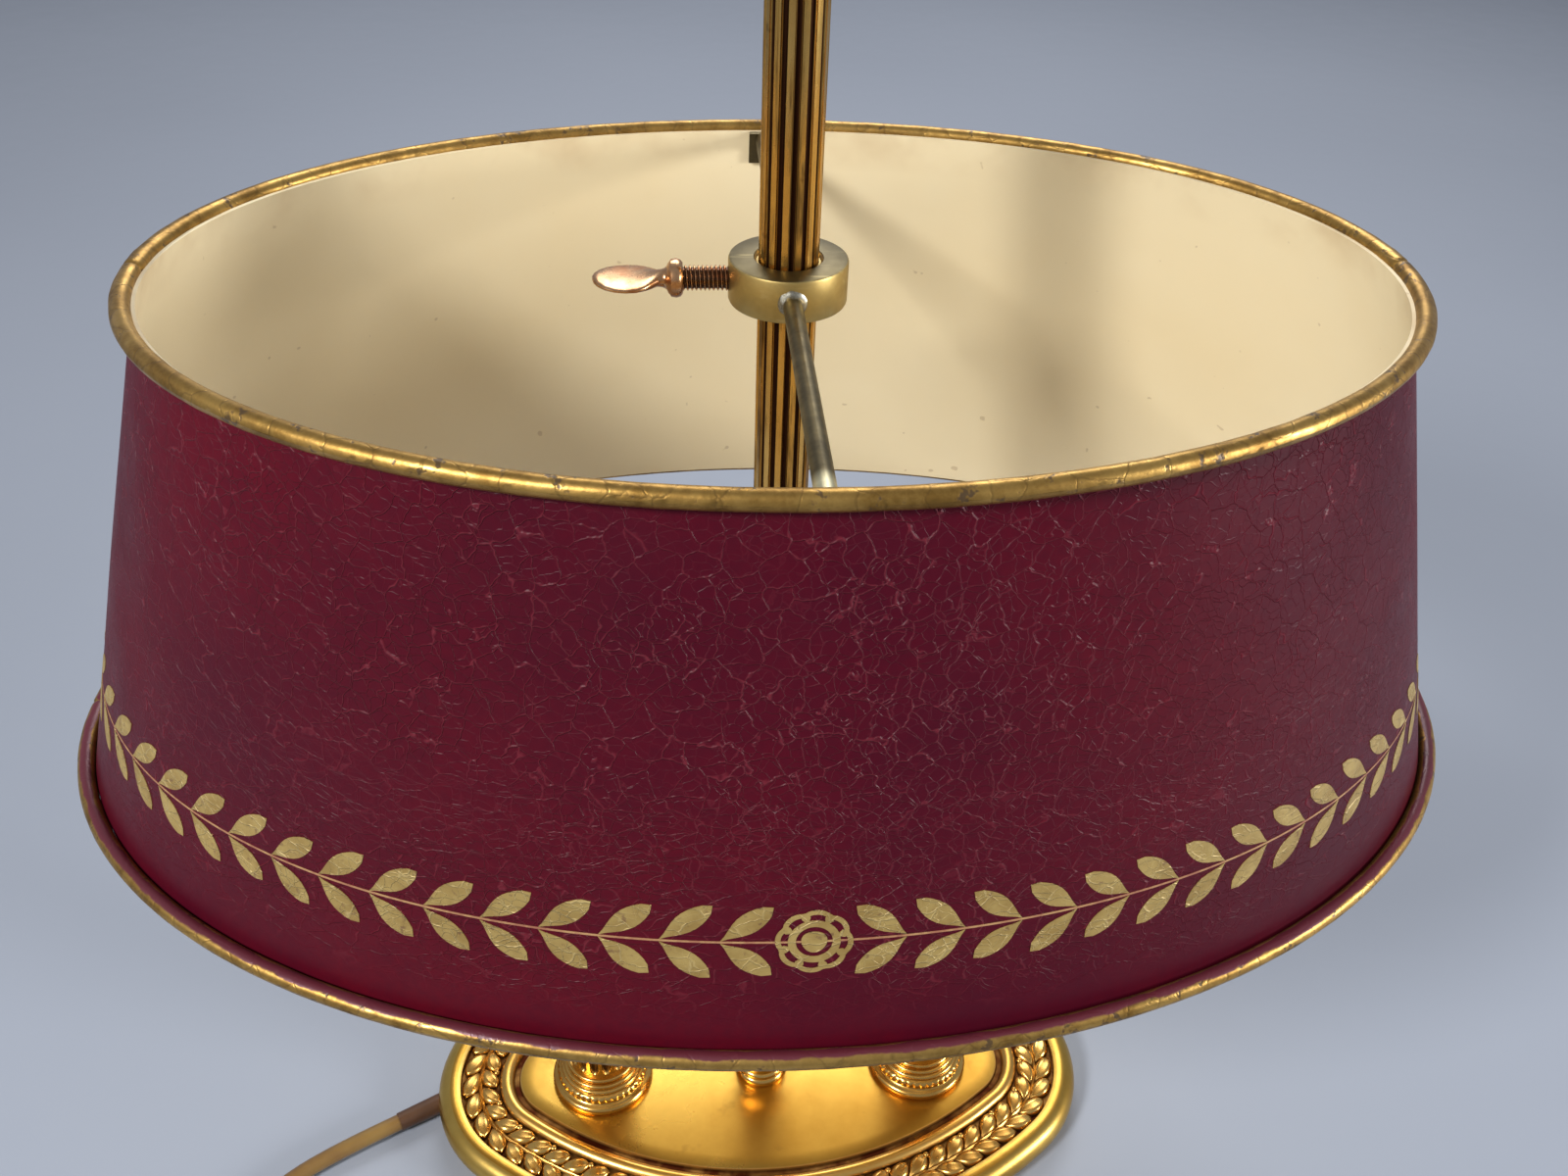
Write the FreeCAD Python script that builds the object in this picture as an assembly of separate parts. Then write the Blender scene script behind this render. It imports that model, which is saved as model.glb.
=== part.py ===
"""Two-light bouillotte lamp: gilt oval base, two fluted columns, a fluted stem and an oval metal shade.

The shade hangs from a collar that slides and turns on the stem and is held by a thumb screw.
Millimetres. Z is up, the origin is on the stem's axis at the surface that the lamp stands on.
X runs along the oval's long axis and -Y is the front.
"""

import FreeCAD, Part
import math
import os

V = FreeCAD.Vector
UP = V(0, 0, 1)

# Base
BASE_HALF_LONG = 115.5
BASE_HALF_SHORT = 69.4
BASE_END_RADIUS = 45.0
FELT_THICK = 1.0
COVER_THICK = 0.8
RIM_LIFT = 0.8
TORUS_RADIUS = 5.6
TORUS_Z = 7.0
CHANNEL_START = 8.2
CHANNEL_END = 21.6
CHANNEL_Z = 9.6
MOULDING_END = 26.9
MOULDING_TOP = 12.2
GROOVE_END = 28.7
GROOVE_Z = 10.0
GROOVE_SLOPE = 0.4
FLOOR_Z = 11.0
FLOOR_THICK = 2.2
CHANNEL_WALL = 2.0
RIM_OUTER = 2.6
RIM_INNER = 6.2
COVER_INSET = 6.6
FELT_INSET = 9.0
COVER_SCREW_INSET = 49.5
COVER_SCREW_X = BASE_HALF_LONG - COVER_SCREW_INSET
COVER_SCREW_Y = 22.0
BOSS_RADIUS = 3.5
SCREW_RADIUS = 1.2
SCREW_HEAD_RADIUS = 2.6
SCREW_CLEARANCE = 0.05
BALLAST_END_GAP = 20.0
BALLAST_HALF_LONG = COVER_SCREW_X - BALLAST_END_GAP
BALLAST_INNER_Y = 20.0
BALLAST_OUTER_Y = 34.0
BALLAST_HEIGHT = 5.8
BALLAST_CORNER = 6.0
BOSS_DROP = 1.0

# Stem
STEM_RADIUS = 7.0
STEM_FLUTES = 14
STEM_FLUTE_RADIUS = 0.85
STEM_FLUTE_OUT = 0.05
STEM_FLUTE_CENTRE = STEM_RADIUS + STEM_FLUTE_OUT
STEM_BORE = 4.2
STEM_TOP = 430.0
STEM_FOOT_HEIGHT = 18.0
STEM_FOOT_WALL = 1.3
STEM_FOOT_RADIUS = STEM_RADIUS + STEM_FOOT_WALL
STEM_SEAT = 2.0
STEM_FIT = 0.06
ROD_RADIUS = 3.0
ROD_FIT = 0.05
ROD_NUT_FLATS = 10.0
ROD_NUT_HEIGHT = 3.0
ROD_TAIL = 1.0
ROD_END_GAP = 0.5
STEM_CAP_EDGE = 2.4
STEM_CAP_RADIUS = STEM_RADIUS + STEM_CAP_EDGE
STEM_CAP_HEIGHT = 5.0
STEM_CAP_PLUG = 6.0
FINIAL_HEIGHT = 44.0
FINIAL_RADIUS = 10.5
FINIAL_THREAD = 10.0

# Columns and lights
COLUMN_INSET = 58.6
COLUMN_X = BASE_HALF_LONG - COLUMN_INSET
COLUMN_RADIUS = 10.9
COLUMN_FLUTES = 16
COLUMN_FLUTE_RADIUS = 1.45
COLUMN_FLUTE_OUT = 0.1
COLUMN_FLUTE_CENTRE = COLUMN_RADIUS + COLUMN_FLUTE_OUT
COLUMN_HEIGHT = 126.0
FOOT_HEIGHT = 13.0
FOOT_RADIUS = 17.7
CAPITAL_HEIGHT = 16.0
CAPITAL_RADIUS = 16.5
PAN_RADIUS = 27.0
PAN_DEPTH = 7.0
PAN_THICK = 1.4
SLEEVE_RADIUS = 13.0
SLEEVE_WALL = 0.9
SLEEVE_HEIGHT = 57.0
PIPE_RADIUS = 5.0
PIPE_BORE = 3.5
PIPE_FIT = 0.1
PIPE_TAIL = 1.0
PIPE_NUT_FLATS = 14.0
PIPE_NUT_HEIGHT = 3.0
HOLDER_GAP = 0.3
HOLDER_RADIUS = SLEEVE_RADIUS - SLEEVE_WALL - HOLDER_GAP
HOLDER_HEIGHT = 48.0
HOLDER_THREAD = 6.0
LAMP_THREAD_RADIUS = 7.0
LAMP_SHELL_WALL = 0.6
LAMP_SHELL_HEIGHT = 22.0
LAMP_SHELL_DROP = 2.0
CONTACT_RADIUS = 4.0
CONTACT_HEIGHT = 2.5
CONTACT_TIP = 1.0

# Shade and its carrier
SHADE_TOP_LONG = 145.4
SHADE_TOP_SHORT = 95.6
SHADE_BOTTOM_LONG = 184.4
SHADE_BOTTOM_SHORT = 120.6
SHADE_TOP_Z = 320.5
SHADE_BOTTOM_Z = 192.0
SHADE_WALL = 0.8
BEAD_RADIUS = 2.3
BEAD_GAP = 0.15
BEAD_OFFSET = BEAD_RADIUS + BEAD_GAP
COLLAR_RADIUS = 14.0
COLLAR_DROP = 7.3
COLLAR_BOTTOM_Z = SHADE_TOP_Z - COLLAR_DROP
COLLAR_HEIGHT = 10.4
COLLAR_EDGE = 0.5
LINER_WALL = 0.44
LINER_INSET = 0.9
COLLAR_FIT = 0.05
ARM_RADIUS = 2.25
ARM_RISE = 5.0
ARM_Z = COLLAR_BOTTOM_Z + ARM_RISE
ARM_SOCKET = 3.0
ARM_PAD_WIDE = 8.0
ARM_PAD_TALL = 7.0
ARM_PAD_THICK = 1.3
ARM_PAD_GAP = 0.1

# Thumb screw
THUMB_RISE = 5.2
THUMB_Z = COLLAR_BOTTOM_Z + THUMB_RISE
THUMB_RADIUS = 2.95
THUMB_FIT = 0.08
THUMB_THREAD = 10.5
THUMB_BEAD_RADIUS = 4.5
THUMB_BEAD_LONG = 3.7
THUMB_BEAD_EDGE = 1.2
THUMB_NECK_RADIUS = 2.2
THUMB_NECK_LONG = 2.4
THUMB_PAD_RADIUS = 7.4
THUMB_PAD_THICK = 1.6
SHOE_THICK = 1.6
SHOE_RADIUS = 2.6
SHOE_GAP = 0.1
THUMB_TIP_GAP = 0.05

# Cord, its bushing and its wires
CORD_RADIUS = 2.8
CORD_Z = 4.7
EXIT_TURN = 27.2
EXIT_INSET = 10.3
EXIT_CROSS_X = EXIT_INSET - BASE_HALF_LONG
BUSHING_IN = 5.2
BUSHING_OUT = 26.0
BUSHING_WALL = 0.6
BUSHING_RADIUS = CORD_RADIUS + BUSHING_WALL
BUSHING_TIP_WALL = 0.35
BUSHING_TIP = CORD_RADIUS + BUSHING_TIP_WALL
BUSHING_WALL_END = 12.0
BUSHING_FIT = 0.03
CORD_FIT = 0.06
BLOCK_INSET = 31.5
BLOCK_X = BLOCK_INSET - BASE_HALF_LONG
BLOCK_LONG = 12.0
BLOCK_LOW_Y = 2.0
BLOCK_HIGH_Y = 20.0
BLOCK_BOTTOM = 2.0
BLOCK_TOP = 7.4
WIRE_RADIUS = 1.2
WIRE_Z = 3.4
LEFT_WIRE_Y = 4.5
RIGHT_WIRE_Y = 14.0
LEFT_WIRE_TURN = 8.1
RIGHT_WIRE_TURN = 14.9
WIRE_BEND = 3.0
WIRE_END_GAP = 0.5

# Cord switch, coil and plug
SWITCH_Y = -91.0
SWITCH_START_X = -76.0
SWITCH_LONG = 56.0
SWITCH_WIDE = 22.0
SWITCH_SPLIT_Z = 8.0
SWITCH_TOP_Z = 15.5
SWITCH_WALL = 2.0
SWITCH_CORNER = 5.0
SWITCH_CORD_Z = 7.0
ROCKER_RADIUS = 11.0
ROCKER_WIDE = 8.6
ROCKER_Z = 7.6
ROCKER_HALF_LONG = 8.0
ROCKER_TILT = 8.0
ROCKER_AXLE = 1.5
ROCKER_AXLE_REACH = 6.6
ROCKER_FIT = 0.06
ROCKER_GAP = 0.5
ROCKER_SWING = 0.4
ROCKER_DIP = 2.2
ROCKER_DIP_RADIUS = 26.0
BEARING_HALF_LONG = 4.0
BEARING_FOOT = 1.2
COIL_X = 50.0
COIL_Y = -128.0
COIL_OUTER = 41.8
COIL_PITCH = 6.15
COIL_TURNS_IN = 3.5
COIL_RISE = 6.15
COIL_CLIMB_SLOPE = 1.7
PLUG_X = 128.0
PLUG_LONG = 34.0
PLUG_WIDE = 26.0
PLUG_TALL = 13.7
PLUG_CORNER = 5.0
PLUG_LIFT = 0.15
PIN_RADIUS = 2.0
PIN_LONG = 19.0
PIN_SPACING = 19.0

# The lead's free stretches, chosen by hand: from the bushing to the switch, the coil and the plug
LEAD_ROUTE = [
    (-164.0, -31.5, 2.8),
    (-181.0, -50.0, 2.8),
    (-184.5, -78.0, 2.8),
    (-168.0, -100.0, 2.8),
    (-138.0, -107.0, 2.8),
    (-112.0, -98.0, 2.8),
    (-93.0, -91.0, 7.0),
]
MIDDLE_ROUTE = [
    (-4.0, -91.0, 7.0),
    (14.0, -89.0, 2.8),
    (31.0, -86.2, 2.8),
]
TAIL_ROUTE = [
    (74.0, -86.2, 8.95),
    (93.0, -88.0, 2.8),
    (110.0, -91.0, 7.0),
]
LEAD_FIRST_RUN = 20.0


def cylinder(radius, height, at=V(0, 0, 0), along=UP):
    return Part.makeCylinder(radius, height, at, along)


def tube(outer, inner, low, high, x=0.0):
    solid = cylinder(outer, high - low, V(x, 0, low))
    return solid.cut(cylinder(inner, high - low, V(x, 0, low)))


def box(low, high):
    return Part.makeBox(high[0] - low[0], high[1] - low[1], high[2] - low[2], V(*low))


def face_of(steps):
    """A face in the XZ plane: each step is a line's two points or an arc's three."""
    edges = []
    for step in steps:
        points = [V(x, 0, z) for x, z in step]
        curve = Part.Arc(*points) if len(points) == 3 else Part.LineSegment(*points)
        edges.append(curve.toShape())
    return Part.Face(Part.Wire(edges))


def turned(steps, x=0.0):
    """A turned piece: the face spun about the vertical axis at x."""
    solid = face_of(steps).revolve(V(0, 0, 0), UP, 360)
    solid.translate(V(x, 0, 0))
    return solid


def hexagon_nut(flats, bore, low, high, x=0.0):
    corner = flats / math.sqrt(3)
    points = [V(x + corner * math.cos(k * math.pi / 3), corner * math.sin(k * math.pi / 3), low) for k in range(7)]
    solid = Part.Face(Part.makePolygon(points)).extrude(V(0, 0, high - low))
    return solid.cut(cylinder(bore, high - low, V(x, 0, low)))


def fluted(radius, bore, count, flute_radius, flute_centre, low, high, x=0.0):
    """A tube with round-bottomed flutes along its whole height."""
    section = Part.Face(Part.Wire(Part.makeCircle(radius, V(x, 0, low))))
    cutters = []
    for k in range(count):
        turn = 2 * math.pi * (k + 0.5) / count
        centre = V(x + flute_centre * math.cos(turn), flute_centre * math.sin(turn), low)
        cutters.append(Part.Face(Part.Wire(Part.makeCircle(flute_radius, centre))))
    section = section.cut(cutters).cut(Part.Face(Part.Wire(Part.makeCircle(bore, V(x, 0, low)))))
    return section.Faces[0].extrude(V(0, 0, high - low))


def rounded_box(low, high, corner):
    solid = box(low, high)
    upright = [e for e in solid.Edges if abs(e.tangentAt(e.FirstParameter).z) > 0.99]
    return solid.makeFillet(corner, upright)


# The base's oval is four arcs, so each moulding keeps its width all the way round.
def oval_arcs():
    side = (BASE_HALF_LONG**2 + BASE_HALF_SHORT**2 - 2 * BASE_HALF_LONG * BASE_END_RADIUS) / (
        2 * (BASE_HALF_SHORT - BASE_END_RADIUS)
    )
    end_x = BASE_HALF_LONG - BASE_END_RADIUS
    side_y = side - BASE_HALF_SHORT
    meet = math.degrees(math.atan2(side_y, end_x))
    return [
        (V(end_x, 0, 0), BASE_END_RADIUS, -meet, 2 * meet),
        (V(0, -side_y, 0), side, meet, 180 - 2 * meet),
        (V(-end_x, 0, 0), BASE_END_RADIUS, 180 - meet, 2 * meet),
        (V(0, side_y, 0), side, 180 + meet, 180 - 2 * meet),
    ]


def oval_ring(steps):
    """A moulding round the oval: its section is given as depth from the outer edge and height."""
    wedges = []
    for centre, radius, start, sweep in oval_arcs():
        section = face_of([[(radius - d, z) for d, z in step] for step in steps])
        section.rotate(V(0, 0, 0), UP, start)
        wedge = section.revolve(V(0, 0, 0), UP, sweep)
        wedge.translate(centre)
        wedges.append(wedge)
    return wedges[0].fuse(wedges[1:]).removeSplitter()


def oval_plate(inset, low, high):
    edges = []
    for centre, radius, start, sweep in oval_arcs():
        edges.append(Part.makeCircle(radius - inset, centre + V(0, 0, low), UP, start, start + sweep))
    return Part.Face(Part.Wire(edges)).extrude(V(0, 0, high - low))


def exit_direction():
    turn = math.radians(EXIT_TURN)
    return V(-math.cos(turn), -math.sin(turn), 0)


def exit_point(along):
    """A point on the lead's exit line, this far outwards from where it crosses the long axis."""
    return V(EXIT_CROSS_X, 0, CORD_Z) + exit_direction() * along


def base_shell():
    wide = CHANNEL_START - TORUS_RADIUS
    torus_end = TORUS_Z + math.sqrt(TORUS_RADIUS**2 - wide**2)
    low_side = TORUS_RADIUS - RIM_OUTER
    torus_low = TORUS_Z - math.sqrt(TORUS_RADIUS**2 - low_side**2)
    slant = TORUS_RADIUS * math.sqrt(0.5)
    middle = (CHANNEL_END + MOULDING_END) / 2
    ceiling = CHANNEL_Z - CHANNEL_WALL
    plate_low = FLOOR_Z - FLOOR_THICK
    plate_edge = GROOVE_END + GROOVE_SLOPE
    steps = [
        [(RIM_OUTER, RIM_LIFT), (RIM_OUTER, torus_low)],
        [(RIM_OUTER, torus_low), (TORUS_RADIUS - slant, TORUS_Z + slant), (CHANNEL_START, torus_end)],
        [(CHANNEL_START, torus_end), (CHANNEL_START, CHANNEL_Z)],
        [(CHANNEL_START, CHANNEL_Z), (CHANNEL_END, CHANNEL_Z)],
        [(CHANNEL_END, CHANNEL_Z), (middle, MOULDING_TOP), (MOULDING_END, GROOVE_Z)],
        [(MOULDING_END, GROOVE_Z), (GROOVE_END, GROOVE_Z)],
        [(GROOVE_END, GROOVE_Z), (plate_edge, FLOOR_Z)],
        [(plate_edge, FLOOR_Z), (plate_edge, plate_low)],
        [(plate_edge, plate_low), (CHANNEL_END, ceiling)],
        [(CHANNEL_END, ceiling), (RIM_INNER, ceiling)],
        [(RIM_INNER, ceiling), (RIM_INNER, RIM_LIFT)],
        [(RIM_INNER, RIM_LIFT), (RIM_OUTER, RIM_LIFT)],
    ]
    shell = oval_ring(steps).fuse(oval_plate(plate_edge, plate_low, FLOOR_Z))
    cover_top = FELT_THICK + COVER_THICK
    for x in (-COVER_SCREW_X, COVER_SCREW_X):
        for y in (-COVER_SCREW_Y, COVER_SCREW_Y):
            shell = shell.fuse(cylinder(BOSS_RADIUS, FLOOR_Z - cover_top - BOSS_DROP, V(x, y, cover_top)))
            shell = shell.cut(cylinder(SCREW_RADIUS + SCREW_CLEARANCE, BALLAST_HEIGHT, V(x, y, cover_top)))
    for x in (-COLUMN_X, COLUMN_X):
        shell = shell.cut(cylinder(PIPE_RADIUS + PIPE_FIT, FLOOR_Z, V(x, 0, 0)))
    shell = shell.cut(cylinder(ROD_RADIUS + ROD_FIT, FLOOR_Z))
    hole = cylinder(BUSHING_RADIUS + BUSHING_FIT, BUSHING_OUT, exit_point(0), exit_direction())
    slot = Part.makeBox(BUSHING_OUT, 2 * BUSHING_RADIUS, CORD_Z, V(0, -BUSHING_RADIUS, 0))
    slot.rotate(V(0, 0, 0), UP, 180 + EXIT_TURN)
    slot.translate(V(EXIT_CROSS_X, 0, 0))
    return shell.cut([hole, slot]).removeSplitter()


def ballast():
    """Two iron bars that lie in front of and behind the row of nuts."""
    top = FLOOR_Z - FLOOR_THICK
    bars = []
    for side in (-1, 1):
        ys = sorted((side * BALLAST_INNER_Y, side * BALLAST_OUTER_Y))
        low = (-BALLAST_HALF_LONG, ys[0], top - BALLAST_HEIGHT)
        high = (BALLAST_HALF_LONG, ys[1], top)
        bars.append(rounded_box(low, high, BALLAST_CORNER))
    return Part.makeCompound(bars)


def base_cover():
    plate = oval_plate(COVER_INSET, FELT_THICK, FELT_THICK + COVER_THICK)
    holes = []
    for x in (-COVER_SCREW_X, COVER_SCREW_X):
        for y in (-COVER_SCREW_Y, COVER_SCREW_Y):
            holes.append(cylinder(SCREW_HEAD_RADIUS + SCREW_CLEARANCE, COVER_THICK, V(x, y, FELT_THICK)))
    return plate.cut(holes)


def cover_screws():
    screws = []
    for x in (-COVER_SCREW_X, COVER_SCREW_X):
        for y in (-COVER_SCREW_Y, COVER_SCREW_Y):
            head = cylinder(SCREW_HEAD_RADIUS, COVER_THICK, V(x, y, FELT_THICK))
            shank = cylinder(SCREW_RADIUS, BALLAST_HEIGHT - BOSS_DROP, V(x, y, FELT_THICK))
            screws.append(head.fuse(shank))
    return Part.makeCompound(screws)


def stem_foot():
    z = FLOOR_Z
    r = STEM_FOOT_RADIUS
    top = z + STEM_FOOT_HEIGHT
    bore = STEM_RADIUS + STEM_FIT
    rod = ROD_RADIUS + ROD_FIT
    seat = z + STEM_SEAT
    steps = [
        [(rod, z), (r, z)],
        [(r, z), (r + 0.9, z + 1.5), (r, z + 3.0)],
        [(r, z + 3.0), (r - 0.3, z + 3.4)],
        [(r - 0.3, z + 3.4), (r + 0.5, z + 4.8), (r - 0.3, z + 6.2)],
        [(r - 0.3, z + 6.2), (r - 0.5, z + 9.0), (r - 0.3, top - 4.2)],
        [(r - 0.3, top - 4.2), (r - 0.3, top - 3.2)],
        [(r - 0.3, top - 3.2), (r + 0.8, top - 1.6), (r - 0.3, top)],
        [(r - 0.3, top), (bore, top)],
        [(bore, top), (bore, seat)],
        [(bore, seat), (rod, seat)],
        [(rod, seat), (rod, z)],
    ]
    return turned(steps)


def stem_tube():
    low = FLOOR_Z + STEM_SEAT
    return fluted(STEM_RADIUS, STEM_BORE, STEM_FLUTES, STEM_FLUTE_RADIUS, STEM_FLUTE_CENTRE, low, STEM_TOP)


def tie_rod():
    low = FLOOR_Z - FLOOR_THICK - ROD_NUT_HEIGHT - ROD_TAIL
    return cylinder(ROD_RADIUS, STEM_TOP + STEM_CAP_HEIGHT + FINIAL_THREAD - ROD_END_GAP - low, V(0, 0, low))


def stem_nut():
    high = FLOOR_Z - FLOOR_THICK
    return hexagon_nut(ROD_NUT_FLATS, ROD_RADIUS + ROD_FIT, high - ROD_NUT_HEIGHT, high)


def stem_cap():
    z = STEM_TOP
    r = STEM_CAP_RADIUS
    rod = ROD_RADIUS + ROD_FIT
    plug = STEM_BORE - ROD_FIT
    top = z + STEM_CAP_HEIGHT
    steps = [
        [(plug, z - STEM_CAP_PLUG), (plug, z)],
        [(plug, z), (r - 1.4, z)],
        [(r - 1.4, z), (r, z + STEM_CAP_HEIGHT / 2), (r - 1.4, top)],
        [(r - 1.4, top), (rod, top)],
        [(rod, top), (rod, z - STEM_CAP_PLUG)],
        [(rod, z - STEM_CAP_PLUG), (plug, z - STEM_CAP_PLUG)],
    ]
    return turned(steps)


def finial():
    z = STEM_TOP + STEM_CAP_HEIGHT
    r = FINIAL_RADIUS
    h = FINIAL_HEIGHT
    bore = ROD_RADIUS + ROD_FIT
    steps = [
        [(bore, z), (6.4, z)],
        [(6.4, z), (7.2, z + 1.4), (6.0, z + 2.8)],
        [(6.0, z + 2.8), (4.2, z + 5.6), (4.6, z + 0.20 * h)],
        [(4.6, z + 0.20 * h), (r, z + 0.40 * h), (4.6, z + 0.60 * h)],
        [(4.6, z + 0.60 * h), (6.6, z + 0.635 * h), (4.6, z + 0.67 * h)],
        [(4.6, z + 0.67 * h), (3.0, z + 0.77 * h)],
        [(3.0, z + 0.77 * h), (5.0, z + 0.85 * h), (3.0, z + 0.93 * h)],
        [(3.0, z + 0.93 * h), (0, z + h)],
        [(0, z + h), (0, z + FINIAL_THREAD)],
        [(0, z + FINIAL_THREAD), (bore, z + FINIAL_THREAD)],
        [(bore, z + FINIAL_THREAD), (bore, z)],
    ]
    return turned(steps)


def column_foot(x):
    z = FLOOR_Z
    r = FOOT_RADIUS
    neck = COLUMN_RADIUS + 0.6
    bore = PIPE_RADIUS + PIPE_FIT
    top = z + FOOT_HEIGHT
    steps = [
        [(bore, z), (r - 1.4, z)],
        [(r - 1.4, z), (r, z + 1.7), (r - 1.4, z + 3.4)],
        [(r - 1.4, z + 3.4), (r - 2.4, z + 3.8)],
        [(r - 2.4, z + 3.8), (r - 1.9, z + 5.0), (r - 2.8, z + 6.0)],
        [(r - 2.8, z + 6.0), (r - 3.8, z + 6.4)],
        [(r - 3.8, z + 6.4), (r - 3.2, z + 7.6), (r - 4.0, z + 8.8)],
        [(r - 4.0, z + 8.8), (neck, z + 9.6)],
        [(neck, z + 9.6), (neck + 1.0, z + 11.3), (neck, top)],
        [(neck, top), (bore, top)],
        [(bore, top), (bore, z)],
    ]
    return turned(steps, x)


def column_shaft(x):
    low = FLOOR_Z + FOOT_HEIGHT
    return fluted(
        COLUMN_RADIUS,
        PIPE_RADIUS + PIPE_FIT,
        COLUMN_FLUTES,
        COLUMN_FLUTE_RADIUS,
        COLUMN_FLUTE_CENTRE,
        low,
        low + COLUMN_HEIGHT,
        x,
    )


def capital_top():
    return FLOOR_Z + FOOT_HEIGHT + COLUMN_HEIGHT + CAPITAL_HEIGHT


def column_capital(x):
    top = capital_top()
    z = top - CAPITAL_HEIGHT
    r = COLUMN_RADIUS
    out = CAPITAL_RADIUS
    bore = PIPE_RADIUS + PIPE_FIT
    steps = [
        [(bore, z), (r, z)],
        [(r, z), (r + 1.3, z + 1.5), (r, z + 3.0)],
        [(r, z + 3.0), (r + 1.0, top - 7.0), (out - 0.8, top - 4.0)],
        [(out - 0.8, top - 4.0), (out, top - 2.0), (out - 0.8, top)],
        [(out - 0.8, top), (bore, top)],
        [(bore, top), (bore, z)],
    ]
    return turned(steps, x)


def drip_pan(x):
    z = capital_top()
    t = PAN_THICK
    flat = CAPITAL_RADIUS
    out = PAN_RADIUS
    bore = PIPE_RADIUS + PIPE_FIT
    middle = (flat + out - 1.0) / 2
    sag = z + (PAN_DEPTH - t) / 2 - 0.8
    steps = [
        [(bore, z), (flat, z)],
        [(flat, z), (middle, sag), (out - 1.0, z + PAN_DEPTH - t)],
        [(out - 1.0, z + PAN_DEPTH - t), (out, z + PAN_DEPTH - t / 2), (out - 1.0, z + PAN_DEPTH)],
        [(out - 1.0, z + PAN_DEPTH), (middle, sag + t), (flat, z + t)],
        [(flat, z + t), (bore, z + t)],
        [(bore, z + t), (bore, z)],
    ]
    return turned(steps, x)


def candle_sleeve(x):
    low = capital_top() + PAN_THICK
    return tube(SLEEVE_RADIUS, SLEEVE_RADIUS - SLEEVE_WALL, low, low + SLEEVE_HEIGHT, x)


def holder_bottom():
    return capital_top() + PAN_THICK + PIPE_NUT_HEIGHT


def lamp_holder(x):
    low = holder_bottom()
    top = low + HOLDER_HEIGHT
    body = cylinder(HOLDER_RADIUS, HOLDER_HEIGHT, V(x, 0, low))
    body = body.cut(cylinder(PIPE_RADIUS + PIPE_FIT, HOLDER_THREAD, V(x, 0, low)))
    well = LAMP_SHELL_HEIGHT + LAMP_SHELL_DROP + CONTACT_HEIGHT
    body = body.cut(cylinder(LAMP_THREAD_RADIUS + LAMP_SHELL_WALL, well, V(x, 0, top - well)))
    return body


def lamp_shell(x):
    top = holder_bottom() + HOLDER_HEIGHT - LAMP_SHELL_DROP
    outer = LAMP_THREAD_RADIUS + LAMP_SHELL_WALL
    return tube(outer, LAMP_THREAD_RADIUS, top - LAMP_SHELL_HEIGHT, top, x)


def lamp_contact(x):
    low = holder_bottom() + HOLDER_HEIGHT - LAMP_SHELL_DROP - LAMP_SHELL_HEIGHT - CONTACT_HEIGHT
    plate = cylinder(CONTACT_RADIUS, CONTACT_HEIGHT / 2, V(x, 0, low))
    return plate.fuse(Part.makeCone(CONTACT_RADIUS / 2, CONTACT_TIP, CONTACT_HEIGHT / 2, V(x, 0, low + CONTACT_HEIGHT / 2)))


def column_pipe(x):
    low = FLOOR_Z - FLOOR_THICK - PIPE_NUT_HEIGHT - PIPE_TAIL
    high = holder_bottom() + HOLDER_THREAD
    return tube(PIPE_RADIUS, PIPE_BORE, low, high, x)


def column_nuts(x):
    """One hexagon nut under the base and one inside the sleeve."""
    under = FLOOR_Z - FLOOR_THICK
    over = capital_top() + PAN_THICK
    bore = PIPE_RADIUS + PIPE_FIT
    return Part.makeCompound(
        [
            hexagon_nut(PIPE_NUT_FLATS, bore, under - PIPE_NUT_HEIGHT, under, x),
            hexagon_nut(PIPE_NUT_FLATS, bore, over, over + PIPE_NUT_HEIGHT, x),
        ]
    )


def path_of(points, share=0.45, tight=None):
    """Straight runs joined by tangent arcs. Returns the wire and its radii."""
    edges, radii, last = [], [], points[0]
    for before, corner, after in zip(points, points[1:], points[2:]):
        into = (corner - before).normalize()
        out = (after - corner).normalize()
        half = into.getAngle(out) / 2
        cut = share * min((corner - before).Length, (after - corner).Length)
        radius = cut / math.tan(half)
        if tight and tight < radius:
            radius = tight
            cut = radius * math.tan(half)
        start = corner - into * cut
        end = corner + out * cut
        bulge = (out - into).normalize()
        middle = corner + bulge * (radius / math.cos(half) - radius)
        edges.append(Part.LineSegment(last, start).toShape())
        edges.append(Part.Arc(start, middle, end).toShape())
        radii.append(radius)
        last = end
    edges.append(Part.LineSegment(last, points[-1]).toShape())
    return Part.Wire(edges), radii


def along(wire, radius):
    """A round tube along a wire."""
    first = wire.Edges[0]
    start = first.valueAt(first.FirstParameter)
    ring = Part.Wire(Part.makeCircle(radius, start, first.tangentAt(first.FirstParameter)))
    solid = wire.makePipeShell([ring], True, False)
    return solid


def terminal_block():
    low = (BLOCK_X, BLOCK_LOW_Y, BLOCK_BOTTOM)
    return box(low, (BLOCK_X + BLOCK_LONG, BLOCK_HIGH_Y, BLOCK_TOP))


def wire_path(y, x, turn_x):
    top = holder_bottom() + HOLDER_THREAD - WIRE_END_GAP
    return [
        V(BLOCK_X + BLOCK_LONG, y, WIRE_Z),
        V(turn_x, y, WIRE_Z),
        V(x, 0, WIRE_Z),
        V(x, 0, top),
    ]


def feed_wire(y, x, turn_x):
    wire, _ = path_of(wire_path(y, x, turn_x), tight=WIRE_BEND)
    return along(wire, WIRE_RADIUS)


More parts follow.
